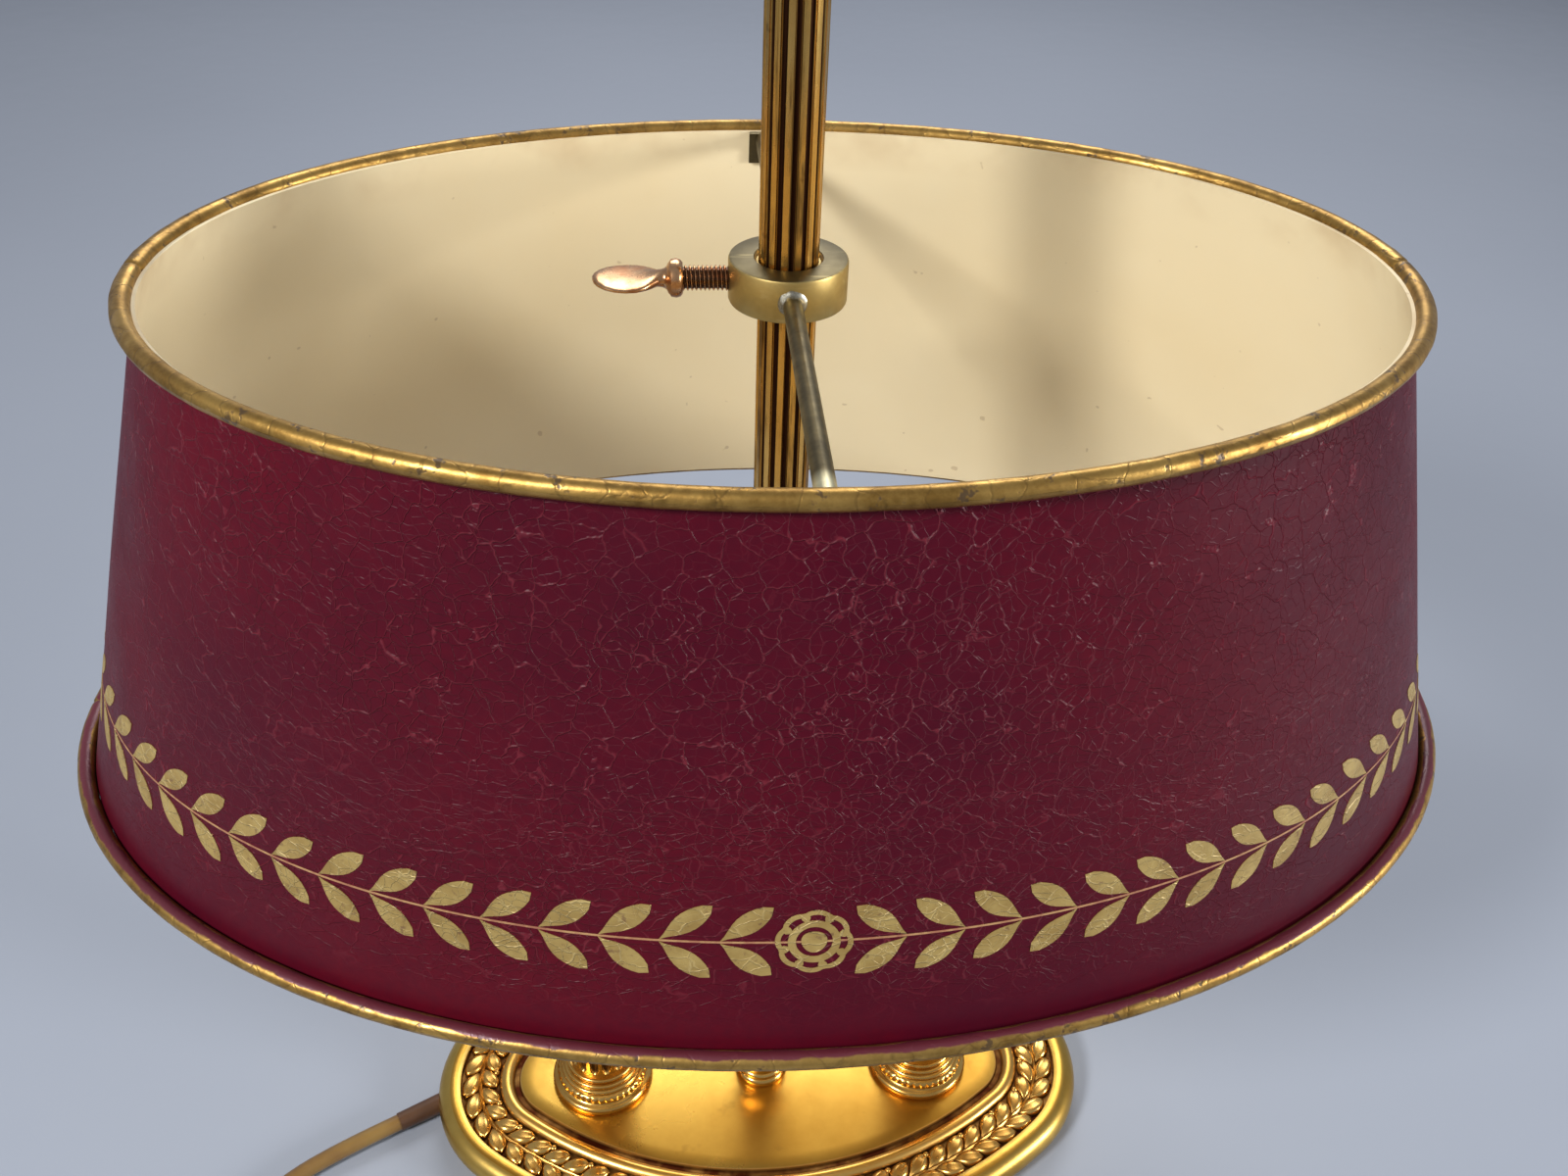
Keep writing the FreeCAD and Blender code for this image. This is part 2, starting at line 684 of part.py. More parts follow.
def cord_entry():
    """The lead inside the base and the bushing, cut square against the terminal block."""
    inside = (BLOCK_X - EXIT_CROSS_X) / -exit_direction().x
    long = BUSHING_OUT + inside + 2 * CORD_RADIUS
    solid = cylinder(CORD_RADIUS, long, exit_point(BUSHING_OUT - long), exit_direction())
    return solid.cut(box((BLOCK_X, -long, 0), (BLOCK_X + long, long, long)))


def cord_bushing():
    wall = cylinder(BUSHING_RADIUS, BUSHING_WALL_END - BUSHING_IN, exit_point(BUSHING_IN), exit_direction())
    taper_long = BUSHING_OUT - BUSHING_WALL_END
    taper = Part.makeCone(BUSHING_RADIUS, BUSHING_TIP, taper_long, exit_point(BUSHING_WALL_END), exit_direction())
    bore = cylinder(CORD_RADIUS + CORD_FIT, BUSHING_OUT, exit_point(0), exit_direction())
    return wall.fuse(taper).cut(bore)


def report(name, wire, radii, solid):
    section = math.pi * CORD_RADIUS**2
    print(name, "length", round(wire.Length, 1), "radii", [round(r) for r in radii])
    print(name, "volume over section times length", round(solid.Volume / (section * wire.Length), 4))


def free_cord(name, points):
    wire, radii = path_of(points)
    solid = along(wire, CORD_RADIUS)
    report(name, wire, radii, solid)
    return solid


def cord_lead():
    start = exit_point(BUSHING_OUT)
    second = start + exit_direction() * LEAD_FIRST_RUN
    end = V(SWITCH_START_X, SWITCH_Y, SWITCH_CORD_Z)
    return free_cord("cord_lead", [start, second] + [V(*p) for p in LEAD_ROUTE] + [end])


def cord_middle():
    start = V(SWITCH_START_X + SWITCH_LONG, SWITCH_Y, SWITCH_CORD_Z)
    end = V(COIL_X - 2 * CORD_RADIUS, COIL_Y + COIL_OUTER, CORD_RADIUS)
    return free_cord("cord_middle", [start] + [V(*p) for p in MIDDLE_ROUTE] + [end])


def cord_tail():
    start = V(COIL_X + 2 * CORD_RADIUS, COIL_Y + COIL_OUTER, CORD_RADIUS + COIL_RISE)
    end = V(PLUG_X, TAIL_ROUTE[-1][1], PLUG_TALL / 2 + PLUG_LIFT)
    return free_cord("cord_tail", [start] + [V(*p) for p in TAIL_ROUTE] + [end])


def biarc(p0, t0, p1, t1):
    """Two tangent arcs from p0 along t0 to p1 along t1."""
    v = p1 - p0
    t = t0 + t1
    a = 2 * (1 - t0.dot(t1))
    b = 2 * v.dot(t)
    c = -v.dot(v)
    d = -c / b if a < 1e-9 else (-b + math.sqrt(b * b - 4 * a * c)) / (2 * a)
    joint = (p0 + t0 * d + p1 - t1 * d) * 0.5
    edges = []
    for start, tangent, end in ((p0, t0, joint), (p1, -t1, joint)):
        chord = end - start
        corner = start + tangent * (chord.Length / (2 * math.cos(chord.getAngle(tangent))))
        half = chord.getAngle(tangent)
        middle = (start + end) * 0.5
        depth = chord.Length / 2 * math.tan(half / 2)
        bulge = (corner - middle).normalize()
        edges.append(Part.Arc(start, middle + bulge * depth, end).toShape())
    return edges


def coil_wire():
    """Spirals in on the floor, climbs a layer in the half turn where it reverses, and spirals out."""
    middle = round(COIL_TURNS_IN * 4)
    inner = COIL_OUTER - COIL_PITCH * middle / 4
    stations = []
    for k in range(2 * middle + 1):
        radius = inner + COIL_PITCH * abs(k - middle) / 4
        climb = min(max((k - middle + 1) / 2, 0), 1)
        z = CORD_RADIUS + climb * COIL_RISE
        slope = COIL_CLIMB_SLOPE * COIL_RISE / (math.pi * inner) if k == middle else 0.0
        turn = math.pi / 2 * (1 - k)
        place = V(COIL_X + radius * math.cos(turn), COIL_Y + radius * math.sin(turn), z)
        heading = V(math.sin(turn), -math.cos(turn), slope).normalize()
        stations.append((place, heading))
    lead_in = V(2 * CORD_RADIUS, 0, 0)
    edges = [Part.LineSegment(stations[0][0] - lead_in, stations[0][0]).toShape()]
    for (p0, t0), (p1, t1) in zip(stations, stations[1:]):
        edges += biarc(p0, t0, p1, t1)
    edges.append(Part.LineSegment(stations[-1][0], stations[-1][0] + lead_in).toShape())
    return Part.Wire(Part.sortEdges(edges)[0])


def least_self_gap(wire, step=2.0):
    points = wire.discretize(Distance=step)
    apart = int(6 * CORD_RADIUS / step)
    least = min(
        (points[i] - points[j]).Length for i in range(len(points)) for j in range(i + apart, len(points))
    )
    return least - 2 * CORD_RADIUS


def cord_coil():
    wire = coil_wire()
    solid = along(wire, CORD_RADIUS)
    print("cord_coil least self gap", round(least_self_gap(wire), 2))
    report("cord_coil", wire, [COIL_OUTER, COIL_OUTER - COIL_PITCH * COIL_TURNS_IN], solid)
    return solid


def switch_centre():
    return V(SWITCH_START_X + SWITCH_LONG / 2, SWITCH_Y, 0)


def switch_block(low, high):
    half = SWITCH_WIDE / 2
    return rounded_box(
        (SWITCH_START_X, SWITCH_Y - half, low), (SWITCH_START_X + SWITCH_LONG, SWITCH_Y + half, high), SWITCH_CORNER
    )


def switch_hollow(low, high):
    half = SWITCH_WIDE / 2 - SWITCH_WALL
    inset = 4 * SWITCH_WALL
    return box(
        (SWITCH_START_X + inset, SWITCH_Y - half, low),
        (SWITCH_START_X + SWITCH_LONG - inset, SWITCH_Y + half, high),
    )


def switch_base():
    return switch_block(0, SWITCH_SPLIT_Z).cut(switch_hollow(SWITCH_WALL, SWITCH_SPLIT_Z))


def switch_cover():
    c = switch_centre()
    cover = switch_block(SWITCH_SPLIT_Z, SWITCH_TOP_Z)
    cover = cover.cut(switch_hollow(SWITCH_SPLIT_Z, SWITCH_TOP_Z - SWITCH_WALL))
    half_wide = ROCKER_WIDE / 2 + ROCKER_GAP
    half_long = ROCKER_HALF_LONG + 2 * ROCKER_GAP + ROCKER_SWING
    window = box(
        (c.x - half_long, c.y - half_wide, SWITCH_SPLIT_Z), (c.x + half_long, c.y + half_wide, SWITCH_TOP_Z)
    )
    return cover.cut(window)


def rocker_bearing():
    """The carrier in the housing that holds the rocker's axle, one upright on each side."""
    c = switch_centre()
    inner = ROCKER_WIDE / 2 + ROCKER_GAP
    outer = SWITCH_WIDE / 2 - SWITCH_WALL
    plates = []
    for side in (-1, 1):
        ys = sorted((c.y + side * inner, c.y + side * outer))
        low = (c.x - BEARING_HALF_LONG, ys[0], SWITCH_WALL)
        plates.append(box(low, (c.x + BEARING_HALF_LONG, ys[1], SWITCH_TOP_Z - SWITCH_WALL)))
    low = (c.x - BEARING_HALF_LONG, c.y - inner, SWITCH_WALL)
    foot = box(low, (c.x + BEARING_HALF_LONG, c.y + inner, SWITCH_WALL + BEARING_FOOT))
    hole = cylinder(ROCKER_AXLE + ROCKER_FIT, SWITCH_WIDE, V(c.x, c.y - SWITCH_WIDE / 2, ROCKER_Z), V(0, 1, 0))
    return plates[0].fuse([plates[1], foot]).cut(hole).removeSplitter()


def switch_rocker():
    c = switch_centre()
    half = ROCKER_WIDE / 2
    drum = cylinder(ROCKER_RADIUS, ROCKER_WIDE, V(c.x, c.y - half, ROCKER_Z), V(0, 1, 0))
    keep = box(
        (c.x - ROCKER_HALF_LONG, c.y - half, ROCKER_Z - ROCKER_AXLE - 1),
        (c.x + ROCKER_HALF_LONG, c.y + half, ROCKER_Z + ROCKER_RADIUS),
    )
    dip_z = ROCKER_Z + ROCKER_RADIUS - ROCKER_DIP + ROCKER_DIP_RADIUS
    dip = cylinder(ROCKER_DIP_RADIUS, ROCKER_WIDE, V(c.x, c.y - half, dip_z), V(0, 1, 0))
    axle = cylinder(ROCKER_AXLE, 2 * ROCKER_AXLE_REACH, V(c.x, c.y - ROCKER_AXLE_REACH, ROCKER_Z), V(0, 1, 0))
    rocker = drum.common(keep).cut(dip).fuse(axle)
    rocker.rotate(V(c.x, c.y, ROCKER_Z), V(0, 1, 0), -ROCKER_TILT)
    return rocker


def plug_body():
    y = TAIL_ROUTE[-1][1]
    low = (PLUG_X, y - PLUG_WIDE / 2, PLUG_LIFT)
    return rounded_box(low, (PLUG_X + PLUG_LONG, y + PLUG_WIDE / 2, PLUG_LIFT + PLUG_TALL), PLUG_CORNER)


def plug_pins():
    y = TAIL_ROUTE[-1][1]
    pins = []
    for side in (-0.5, 0.5):
        at = V(PLUG_X + PLUG_LONG, y + side * PIN_SPACING, PLUG_LIFT + PLUG_TALL / 2)
        pin = cylinder(PIN_RADIUS, PIN_LONG - PIN_RADIUS, at, V(1, 0, 0))
        tip = Part.makeSphere(PIN_RADIUS, at + V(PIN_LONG - PIN_RADIUS, 0, 0))
        pins.append(pin.fuse(tip))
    return Part.makeCompound(pins)


def ellipse(long, short, z):
    return Part.Wire(Part.Ellipse(V(0, 0, z), long, short).toShape())


def cone(inset, low, high):
    """The oval cone that the shade's wall lies on, taken in by inset."""
    wires = []
    for z in (low, high):
        share = (z - SHADE_BOTTOM_Z) / (SHADE_TOP_Z - SHADE_BOTTOM_Z)
        long = SHADE_BOTTOM_LONG + share * (SHADE_TOP_LONG - SHADE_BOTTOM_LONG) - inset
        short = SHADE_BOTTOM_SHORT + share * (SHADE_TOP_SHORT - SHADE_BOTTOM_SHORT) - inset
        wires.append(ellipse(long, short, z))
    return Part.makeLoft(wires, True, True)


def shade_panels():
    """The shade's sheet is two half ovals that meet at the ends of the long axis."""
    wall = cone(0, SHADE_BOTTOM_Z, SHADE_TOP_Z).cut(cone(SHADE_WALL, SHADE_BOTTOM_Z - 1, SHADE_TOP_Z + 1))
    far = SHADE_BOTTOM_LONG + 20
    front = box((-far, -far, SHADE_BOTTOM_Z - 5), (far, 0, SHADE_TOP_Z + 5))
    back = box((-far, 0, SHADE_BOTTOM_Z - 5), (far, far, SHADE_TOP_Z + 5))
    return wall.common(front), wall.common(back)


def shade_bead(long, short, z):
    """The round bead of a rim."""
    path = ellipse(long + BEAD_OFFSET, short + BEAD_OFFSET, z)
    start = V(long + BEAD_OFFSET, 0, z)
    ring = Part.Wire(Part.makeCircle(BEAD_RADIUS, start, V(0, 1, 0)))
    return path.makePipeShell([ring], True, True)


def collar_bore():
    return STEM_RADIUS + STEM_FIT + LINER_WALL + COLLAR_FIT


def collar_liner():
    low = COLLAR_BOTTOM_Z + LINER_INSET
    high = COLLAR_BOTTOM_Z + COLLAR_HEIGHT - LINER_INSET
    inner = STEM_RADIUS + STEM_FIT
    return tube(inner + LINER_WALL, inner, low, high)


def collar():
    ring = cylinder(COLLAR_RADIUS, COLLAR_HEIGHT, V(0, 0, COLLAR_BOTTOM_Z))
    ring = ring.makeChamfer(COLLAR_EDGE, ring.Edges)
    ring = ring.cut(cylinder(collar_bore(), COLLAR_HEIGHT, V(0, 0, COLLAR_BOTTOM_Z)))
    for side in (-1, 1):
        at = V(0, side * (COLLAR_RADIUS - ARM_SOCKET), ARM_Z)
        ring = ring.cut(cylinder(ARM_RADIUS, ARM_SOCKET + 1, at, V(0, side, 0)))
    return ring.cut(cylinder(THUMB_RADIUS + THUMB_FIT, COLLAR_RADIUS, V(0, 0, THUMB_Z), V(-1, 0, 0)))


def shade_arm(side):
    """A rod let into the collar, with its end forged flat against the shade's wall."""
    share = (ARM_Z - SHADE_BOTTOM_Z) / (SHADE_TOP_Z - SHADE_BOTTOM_Z)
    slope = (SHADE_BOTTOM_SHORT - SHADE_TOP_SHORT) / (SHADE_TOP_Z - SHADE_BOTTOM_Z)
    wall = SHADE_BOTTOM_SHORT + share * (SHADE_TOP_SHORT - SHADE_BOTTOM_SHORT) - SHADE_WALL
    reach = wall - ARM_PAD_GAP - ARM_PAD_THICK
    start = COLLAR_RADIUS - ARM_SOCKET
    rod = cylinder(ARM_RADIUS, reach - start + ARM_PAD_THICK / 2, V(0, start, ARM_Z), V(0, 1, 0))
    pad = box(
        (-ARM_PAD_WIDE / 2, reach, ARM_Z - ARM_PAD_TALL), (ARM_PAD_WIDE / 2, reach + ARM_PAD_THICK, ARM_Z + ARM_RADIUS)
    )
    pad.rotate(V(0, wall, ARM_Z), V(1, 0, 0), math.degrees(math.atan(slope)))
    arm = rod.fuse(pad)
    if side < 0:
        arm.rotate(V(0, 0, 0), UP, 180)
    return arm


def shoe_face():
    return STEM_RADIUS + STEM_FIT + LINER_WALL + SHOE_GAP


def clamp_shoe():
    """The loose pad at the screw's tip that presses on the liner."""
    return cylinder(SHOE_RADIUS, SHOE_THICK, V(-shoe_face(), 0, THUMB_Z), V(-1, 0, 0))


def thumb_screw():
    left = V(-1, 0, 0)
    tip = shoe_face() + SHOE_THICK + THUMB_TIP_GAP
    thread_end = COLLAR_RADIUS + THUMB_THREAD
    bead_end = thread_end + THUMB_BEAD_LONG
    neck_end = bead_end + THUMB_NECK_LONG
    screw = cylinder(THUMB_RADIUS, thread_end - tip, V(-tip, 0, THUMB_Z), left)
    bead = cylinder(THUMB_BEAD_RADIUS, THUMB_BEAD_LONG, V(-thread_end, 0, THUMB_Z), left)
    bead = bead.makeFillet(THUMB_BEAD_EDGE, bead.Edges[0:1] + bead.Edges[2:3])
    neck = cylinder(THUMB_NECK_RADIUS, THUMB_NECK_LONG + 1, V(-bead_end, 0, THUMB_Z), left)
    centre = neck_end + THUMB_PAD_RADIUS
    pad = cylinder(THUMB_PAD_RADIUS, THUMB_PAD_THICK, V(-centre, 0, THUMB_Z - THUMB_PAD_THICK / 2))
    return screw.fuse([bead, neck, pad])


def save(name, shape):
    solids = shape.Solids
    if not solids or not all(s.isValid() for s in solids):
        raise ValueError(name + " is not a set of valid solids")
    out = solids[0] if len(solids) == 1 else Part.makeCompound(solids)
    out.exportStep("parts/" + name + ".step")
    print(name, len(solids), "solids", round(shape.Volume / 1000, 2), "cm3")


def main():
    os.makedirs("parts", exist_ok=True)
    save("base_shell", base_shell())
    save("ballast", ballast())
    save("base_cover", base_cover())
    save("cover_screws", cover_screws())
    save("felt_pad", oval_plate(FELT_INSET, 0, FELT_THICK))
    save("stem_foot", stem_foot())
    save("stem_tube", stem_tube())
    save("tie_rod", tie_rod())
    save("stem_nut", stem_nut())
    save("stem_cap", stem_cap())
    save("finial", finial())
    for side, x in (("left", -COLUMN_X), ("right", COLUMN_X)):
        save("column_foot_" + side, column_foot(x))
        save("column_shaft_" + side, column_shaft(x))
        save("column_capital_" + side, column_capital(x))
        save("drip_pan_" + side, drip_pan(x))
        save("candle_sleeve_" + side, candle_sleeve(x))
        save("lamp_holder_" + side, lamp_holder(x))
        save("lamp_shell_" + side, lamp_shell(x))
        save("lamp_contact_" + side, lamp_contact(x))
        save("column_pipe_" + side, column_pipe(x))
        save("column_nuts_" + side, column_nuts(x))
    save("feed_wire_left", feed_wire(LEFT_WIRE_Y, -COLUMN_X, -COLUMN_X - LEFT_WIRE_TURN))
    save("feed_wire_right", feed_wire(RIGHT_WIRE_Y, COLUMN_X, COLUMN_X - RIGHT_WIRE_TURN))
    save("terminal_block", terminal_block())
    save("cord_bushing", cord_bushing())
    save("cord_entry", cord_entry())
    front, back = shade_panels()
    save("shade_panel_front", front)
    save("shade_panel_back", back)
    save("shade_bead_top", shade_bead(SHADE_TOP_LONG, SHADE_TOP_SHORT, SHADE_TOP_Z))
    save("shade_bead_bottom", shade_bead(SHADE_BOTTOM_LONG, SHADE_BOTTOM_SHORT, SHADE_BOTTOM_Z))
    save("collar", collar())
    save("collar_liner", collar_liner())
    save("shade_arm_front", shade_arm(-1))
    save("shade_arm_back", shade_arm(1))
    save("clamp_shoe", clamp_shoe())
    save("thumb_screw", thumb_screw())
    save("cord_lead", cord_lead())
    save("switch_base", switch_base())
    save("switch_cover", switch_cover())
    save("rocker_bearing", rocker_bearing())
    save("switch_rocker", switch_rocker())
    save("cord_middle", cord_middle())
    save("cord_coil", cord_coil())
    save("cord_tail", cord_tail())
    save("plug_body", plug_body())
    save("plug_pins", plug_pins())


main()
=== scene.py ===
"""The looks of a two-light bouillotte lamp: gilt base with a laurel border, fluted columns and stem,
and an oval painted metal shade with a gold garland. Metres; Z is up and -Y is the front.
"""

import bisect
import math

import bmesh
import bpy
from mathutils import Matrix, Vector, noise


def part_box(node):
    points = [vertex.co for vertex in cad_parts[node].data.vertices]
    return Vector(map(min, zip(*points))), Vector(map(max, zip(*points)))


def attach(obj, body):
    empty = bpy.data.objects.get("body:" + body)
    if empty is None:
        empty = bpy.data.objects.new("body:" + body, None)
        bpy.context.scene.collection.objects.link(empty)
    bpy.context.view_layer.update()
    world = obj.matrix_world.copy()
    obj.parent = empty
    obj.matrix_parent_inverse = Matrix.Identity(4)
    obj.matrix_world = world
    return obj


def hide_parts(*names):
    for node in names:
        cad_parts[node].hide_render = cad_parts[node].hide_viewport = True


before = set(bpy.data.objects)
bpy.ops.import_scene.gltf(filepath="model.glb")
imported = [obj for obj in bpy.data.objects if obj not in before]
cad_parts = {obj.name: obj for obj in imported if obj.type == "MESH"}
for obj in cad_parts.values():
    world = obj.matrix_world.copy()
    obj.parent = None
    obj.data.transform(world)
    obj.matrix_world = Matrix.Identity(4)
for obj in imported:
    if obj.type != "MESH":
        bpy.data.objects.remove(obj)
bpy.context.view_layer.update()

bl_info = {
    "name": "Bouillotte Lamp Looks",
    "version": (1, 0, 0),
    "blender": (4, 5, 0),
    "location": "3D View > Sidebar > Lamp",
    "description": "Builds the finished surfaces of a two-light bouillotte lamp",
    "category": "Object",
}

MM = 0.001
UP = Vector((0, 0, 1))
WELD = 0.002 * MM
PATCH_WELD = 0.004 * MM

# Shade wall and rims
WALL_LOW_Z = 192.0 * MM
WALL_TOP_Z = 320.5 * MM
WALL_LOW_LONG = 184.4 * MM
WALL_LOW_SHORT = 120.6 * MM
WALL_TOP_LONG = 145.4 * MM
WALL_TOP_SHORT = 95.6 * MM
WALL_THICK = 0.8 * MM
WALL_DENT = 0.35 * MM
DENTS_ROUND = 2.6
DENTS_UP = 16
SLOPE_SHARE = 0.8  # of the slope at the wall's ends: the long sides lean less
WALL_LEVELS = 44
WALL_STEPS = 360
BEAD_RADIUS = 2.3 * MM
BEAD_OFFSET = 2.25 * MM
BEAD_FULLNESS = 0.98
BEAD_ROUGHNESS = 0.03
BEAD_STEPS = 14
LAP_LENGTH = 7.0 * MM
LAP_SWELL = 0.035
NOTCH_LENGTH = 0.8 * MM
NOTCH_DEPTH = 0.16
RIM_STEPS = 720

# Garland
GARLAND_Z = 221.5 * MM
FIRST_NODE = 19.7 * MM
PAINT_LIFT = 0.14 * MM
PAINT_DEPTH = 0.12 * MM
LEAF_SPREAD = math.radians(38)
LEAF_TURN = 0.09
LEAF_STRETCH = 0.07
LEAF_THINNING = 0.06
STALK_OFFSET = 0.3 * MM
LINE_HALF_WIDTH = 0.24 * MM
LINE_LIFT = 0.08 * MM
RISE_SHARE = 0.97  # height gained along the leaning wall

# Levels and distances where a finish changes
CRACKLE_BARE_Z = 198.0 * MM
CRACKLE_FULL_Z = 215.0 * MM
CRACKLE_FLAT_Z = 225.0 * MM
CRACKLE_UPRIGHT_Z = 262.0 * MM
CRACKLE_WAVER = 4.0 * MM
SMOKE_LOW_Z = 308.0 * MM
SMOKE_TOP_Z = 320.6 * MM
BEAD_GOLD_Z = 193.75 * MM
BEAD_PAINT_Z = 193.95 * MM
BEAD_PAINT_WAVER = 1.1 * MM
STEM_LAND = 6.66 * MM
STEM_GROOVE = 6.4 * MM
SHAFT_LAND = 10.6 * MM
SHAFT_GROOVE = 9.9 * MM
PATINA_TOP_Z = 10.9 * MM
CHANNEL_PATINA_Z = 10.1 * MM
LAUREL_PATINA_Z = 9.8 * MM
ARM_DARK_Y = -87.0 * MM
ARM_BRIGHT_Y = -91.0 * MM
THREAD_CREST = 2.85 * MM
THREAD_GROOVE = 2.5 * MM

# Collar, arms and thumb screw
COLLAR_LOW_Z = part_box("collar")[0].z
COLLAR_TOP_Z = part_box("collar")[1].z
COLLAR_RADIUS = 14.0 * MM
COLLAR_BORE = 7.56 * MM
COLLAR_CHAMFER = 0.6 * MM
ARM_RADIUS = 2.25 * MM
ARM_Z = 318.2 * MM
SCREW_Z = 318.4 * MM
SCREW_TIP = 9.25 * MM
SCREW_THREAD_END = 24.5 * MM
THREAD_RADIUS = 2.95 * MM
THREAD_DEPTH = 0.55 * MM
THREAD_PITCH = 1.0 * MM
THREAD_STEPS = 32
THREAD_OVERLAP = 0.2 * MM
PAD_START = 30.4
PAD_LENGTH = 15
PAD_SAG = 0.25
PAD_SQUARE_START = 31
PAD_SQUARENESS = 0.62

# Columns
COLUMN_X = 56.9 * MM
SHAFT_RADIUS = 10.9 * MM
SHAFT_FLUTES = 16
FLUTE_RADIUS = 1.45 * MM
FLUTE_CENTRE = 11.0 * MM
FLUTE_END = 3.6 * MM
FLUTE_MARGIN = 1.6 * MM
FLUTE_OPENING = 0.98
FOOT_REEDS = 40
REED_LOW_Z = 14.9 * MM
REED_HEIGHT = 3.3 * MM
REED_INNER = 14.5 * MM
REED_DEPTH = 0.55 * MM

# Base: a four-arc oval, its section given as depth from the outer edge and height
OVAL_LONG = 115.5 * MM
OVAL_SHORT = 69.4 * MM
OVAL_END_RADIUS = 45.0 * MM
CHANNEL_START = 8.2 * MM
CHANNEL_END = 21.6 * MM
CHANNEL_MIDDLE = (CHANNEL_START + CHANNEL_END) / 2
CHANNEL_Z = 9.6 * MM
FLOOR_Z = 11.0 * MM
OVAL_STEPS = 360

# Laurel: its leaves, berries and the cord between them
LAUREL_LENGTH = 10.6 * MM
LAUREL_WIDTH = 6.0 * MM
LAUREL_STAGGER = 0.9 * MM
LAUREL_STALK = 0.5 * MM
LAUREL_SPREAD = 27
LAUREL_UNLIKE = 3
LAUREL_ROOT = 0.3 * MM
RIB_WIDTH = 0.45 * MM
BERRY_RADIUS = 1.15 * MM
BERRY_LIFT = 0.6 * MM
BERRY_OFFSET = 5.3 * MM
BERRY_SHARE = 0.15
LAUREL_CORD = 0.9 * MM

# Cord, switch and plug
CORD_RADIUS = 2.8 * MM
SWITCH_LOW, SWITCH_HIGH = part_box("switch_base")
SWITCH_TOP_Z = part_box("switch_cover")[1].z
SWITCH_SPLIT_Z = SWITCH_HIGH.z
WINDOW_LONG = 9.3 * MM
WINDOW_WIDE = 4.8 * MM
WINDOW_CORNERS = 14
HOUSING_CORNERS = 6
HOUSING_WALL = 2.0 * MM
HOUSING_GAP = 0.05 * MM
DOME_RADIUS = 3.4 * MM
PLUG_LOW, PLUG_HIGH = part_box("plug_body")

# The cord's route from the bushing to the switch, and from the switch to its coil and plug
LEAD_ROUTE = [
    (-0.12833, -0.01188, 0.0047),
    (-0.14611, -0.02103, 0.0047),
    (-0.164, -0.0315, 0.0028),
    (-0.181, -0.050, 0.0028),
    (-0.1845, -0.078, 0.0028),
    (-0.168, -0.100, 0.0028),
    (-0.138, -0.107, 0.0028),
    (-0.112, -0.098, 0.0028),
    (-0.093, -0.091, 0.007),
    (-0.076, -0.091, 0.007),
]
MIDDLE_ROUTE = [
    (-0.020, -0.091, 0.007),
    (-0.004, -0.091, 0.007),
    (0.014, -0.089, 0.0028),
    (0.031, -0.0862, 0.0028),
    (0.0444, -0.0862, 0.0028),
]
TAIL_ROUTE = [
    (0.0556, -0.0862, 0.00895),
    (0.074, -0.0862, 0.00895),
    (0.093, -0.088, 0.0028),
    (0.110, -0.091, 0.007),
    (0.128, -0.091, 0.007),
]
COIL_CENTRE = Vector((0.050, -0.128, 0))
COIL_OUTER = 41.8 * MM
COIL_PITCH = 6.15 * MM
COIL_TURNS_IN = 3.5
COIL_STEPS = 24
COIL_RISE = 6.15 * MM

# Stage: the camera stands where the photograph's camera stood
FLOOR_RADIUS = 9.0
AIM = Vector((0, 0, 0.2))
# Each light's name, place, width and power
LIGHTS = (
    ("left_light", (-0.8, -0.75, 0.98), 0.3, 17.5),
    ("right_light", (1.25, -0.5, 0.5), 0.4, 14.0),
    ("back_light", (0.2, 1.35, 1.5), 1.1, 18.0),
)
ROOM_LIGHT = 0.32
CAMERA_PLACE = (-0.02742, -0.30464, 0.45609)
CAMERA_LENS = 32.238
CAMERA_TURN = -5.485
CAMERA_DOWN = 36.696
CAMERA_ROLL = 2.181


class LampSizes(bpy.types.PropertyGroup):
    """Sizes of the ornament and of the paint's crackle."""

    leaf_length: bpy.props.FloatProperty(
        name="Garland Leaf Length",
        description="Length of one painted leaf on the shade",
        default=13.9 * MM,
        unit="LENGTH",
    )
    leaf_width: bpy.props.FloatProperty(
        name="Garland Leaf Width",
        description="Greatest width of one painted leaf",
        default=5.2 * MM,
        unit="LENGTH",
    )
    leaf_spacing: bpy.props.FloatProperty(
        name="Garland Spacing",
        description="Distance between two pairs of painted leaves",
        default=12.8 * MM,
        unit="LENGTH",
    )
    rosette_radius: bpy.props.FloatProperty(
        name="Rosette Radius",
        description="Outer radius of the painted rosette at the front and back",
        default=8.3 * MM,
        unit="LENGTH",
    )
    laurel_spacing: bpy.props.FloatProperty(
        name="Laurel Spacing",
        description="Distance between two pairs of cast leaves on the base",
        default=7.7 * MM,
        unit="LENGTH",
    )
    crackle_cell: bpy.props.FloatProperty(
        name="Crackle Cell",
        description="Typical width of one cell of the crackled paint",
        default=6.2 * MM,
        unit="LENGTH",
    )


def colour_property(name, description, red, green, blue):
    """A colour that a user can change, given in display values from 0 to 255."""
    return bpy.props.FloatVectorProperty(
        name=name,
        description=description,
        subtype="COLOR",
        size=4,
        min=0.0,
        max=1.0,
        default=linear(red, green, blue),
    )


def linear(red, green, blue):
    """Display values from 0 to 255 as a linear colour with alpha."""
    values = []
    for value in (red, green, blue):
        share = value / 255
        values.append(share / 12.92 if share <= 0.04045 else ((share + 0.055) / 1.055) ** 2.4)
    return (*values, 1.0)


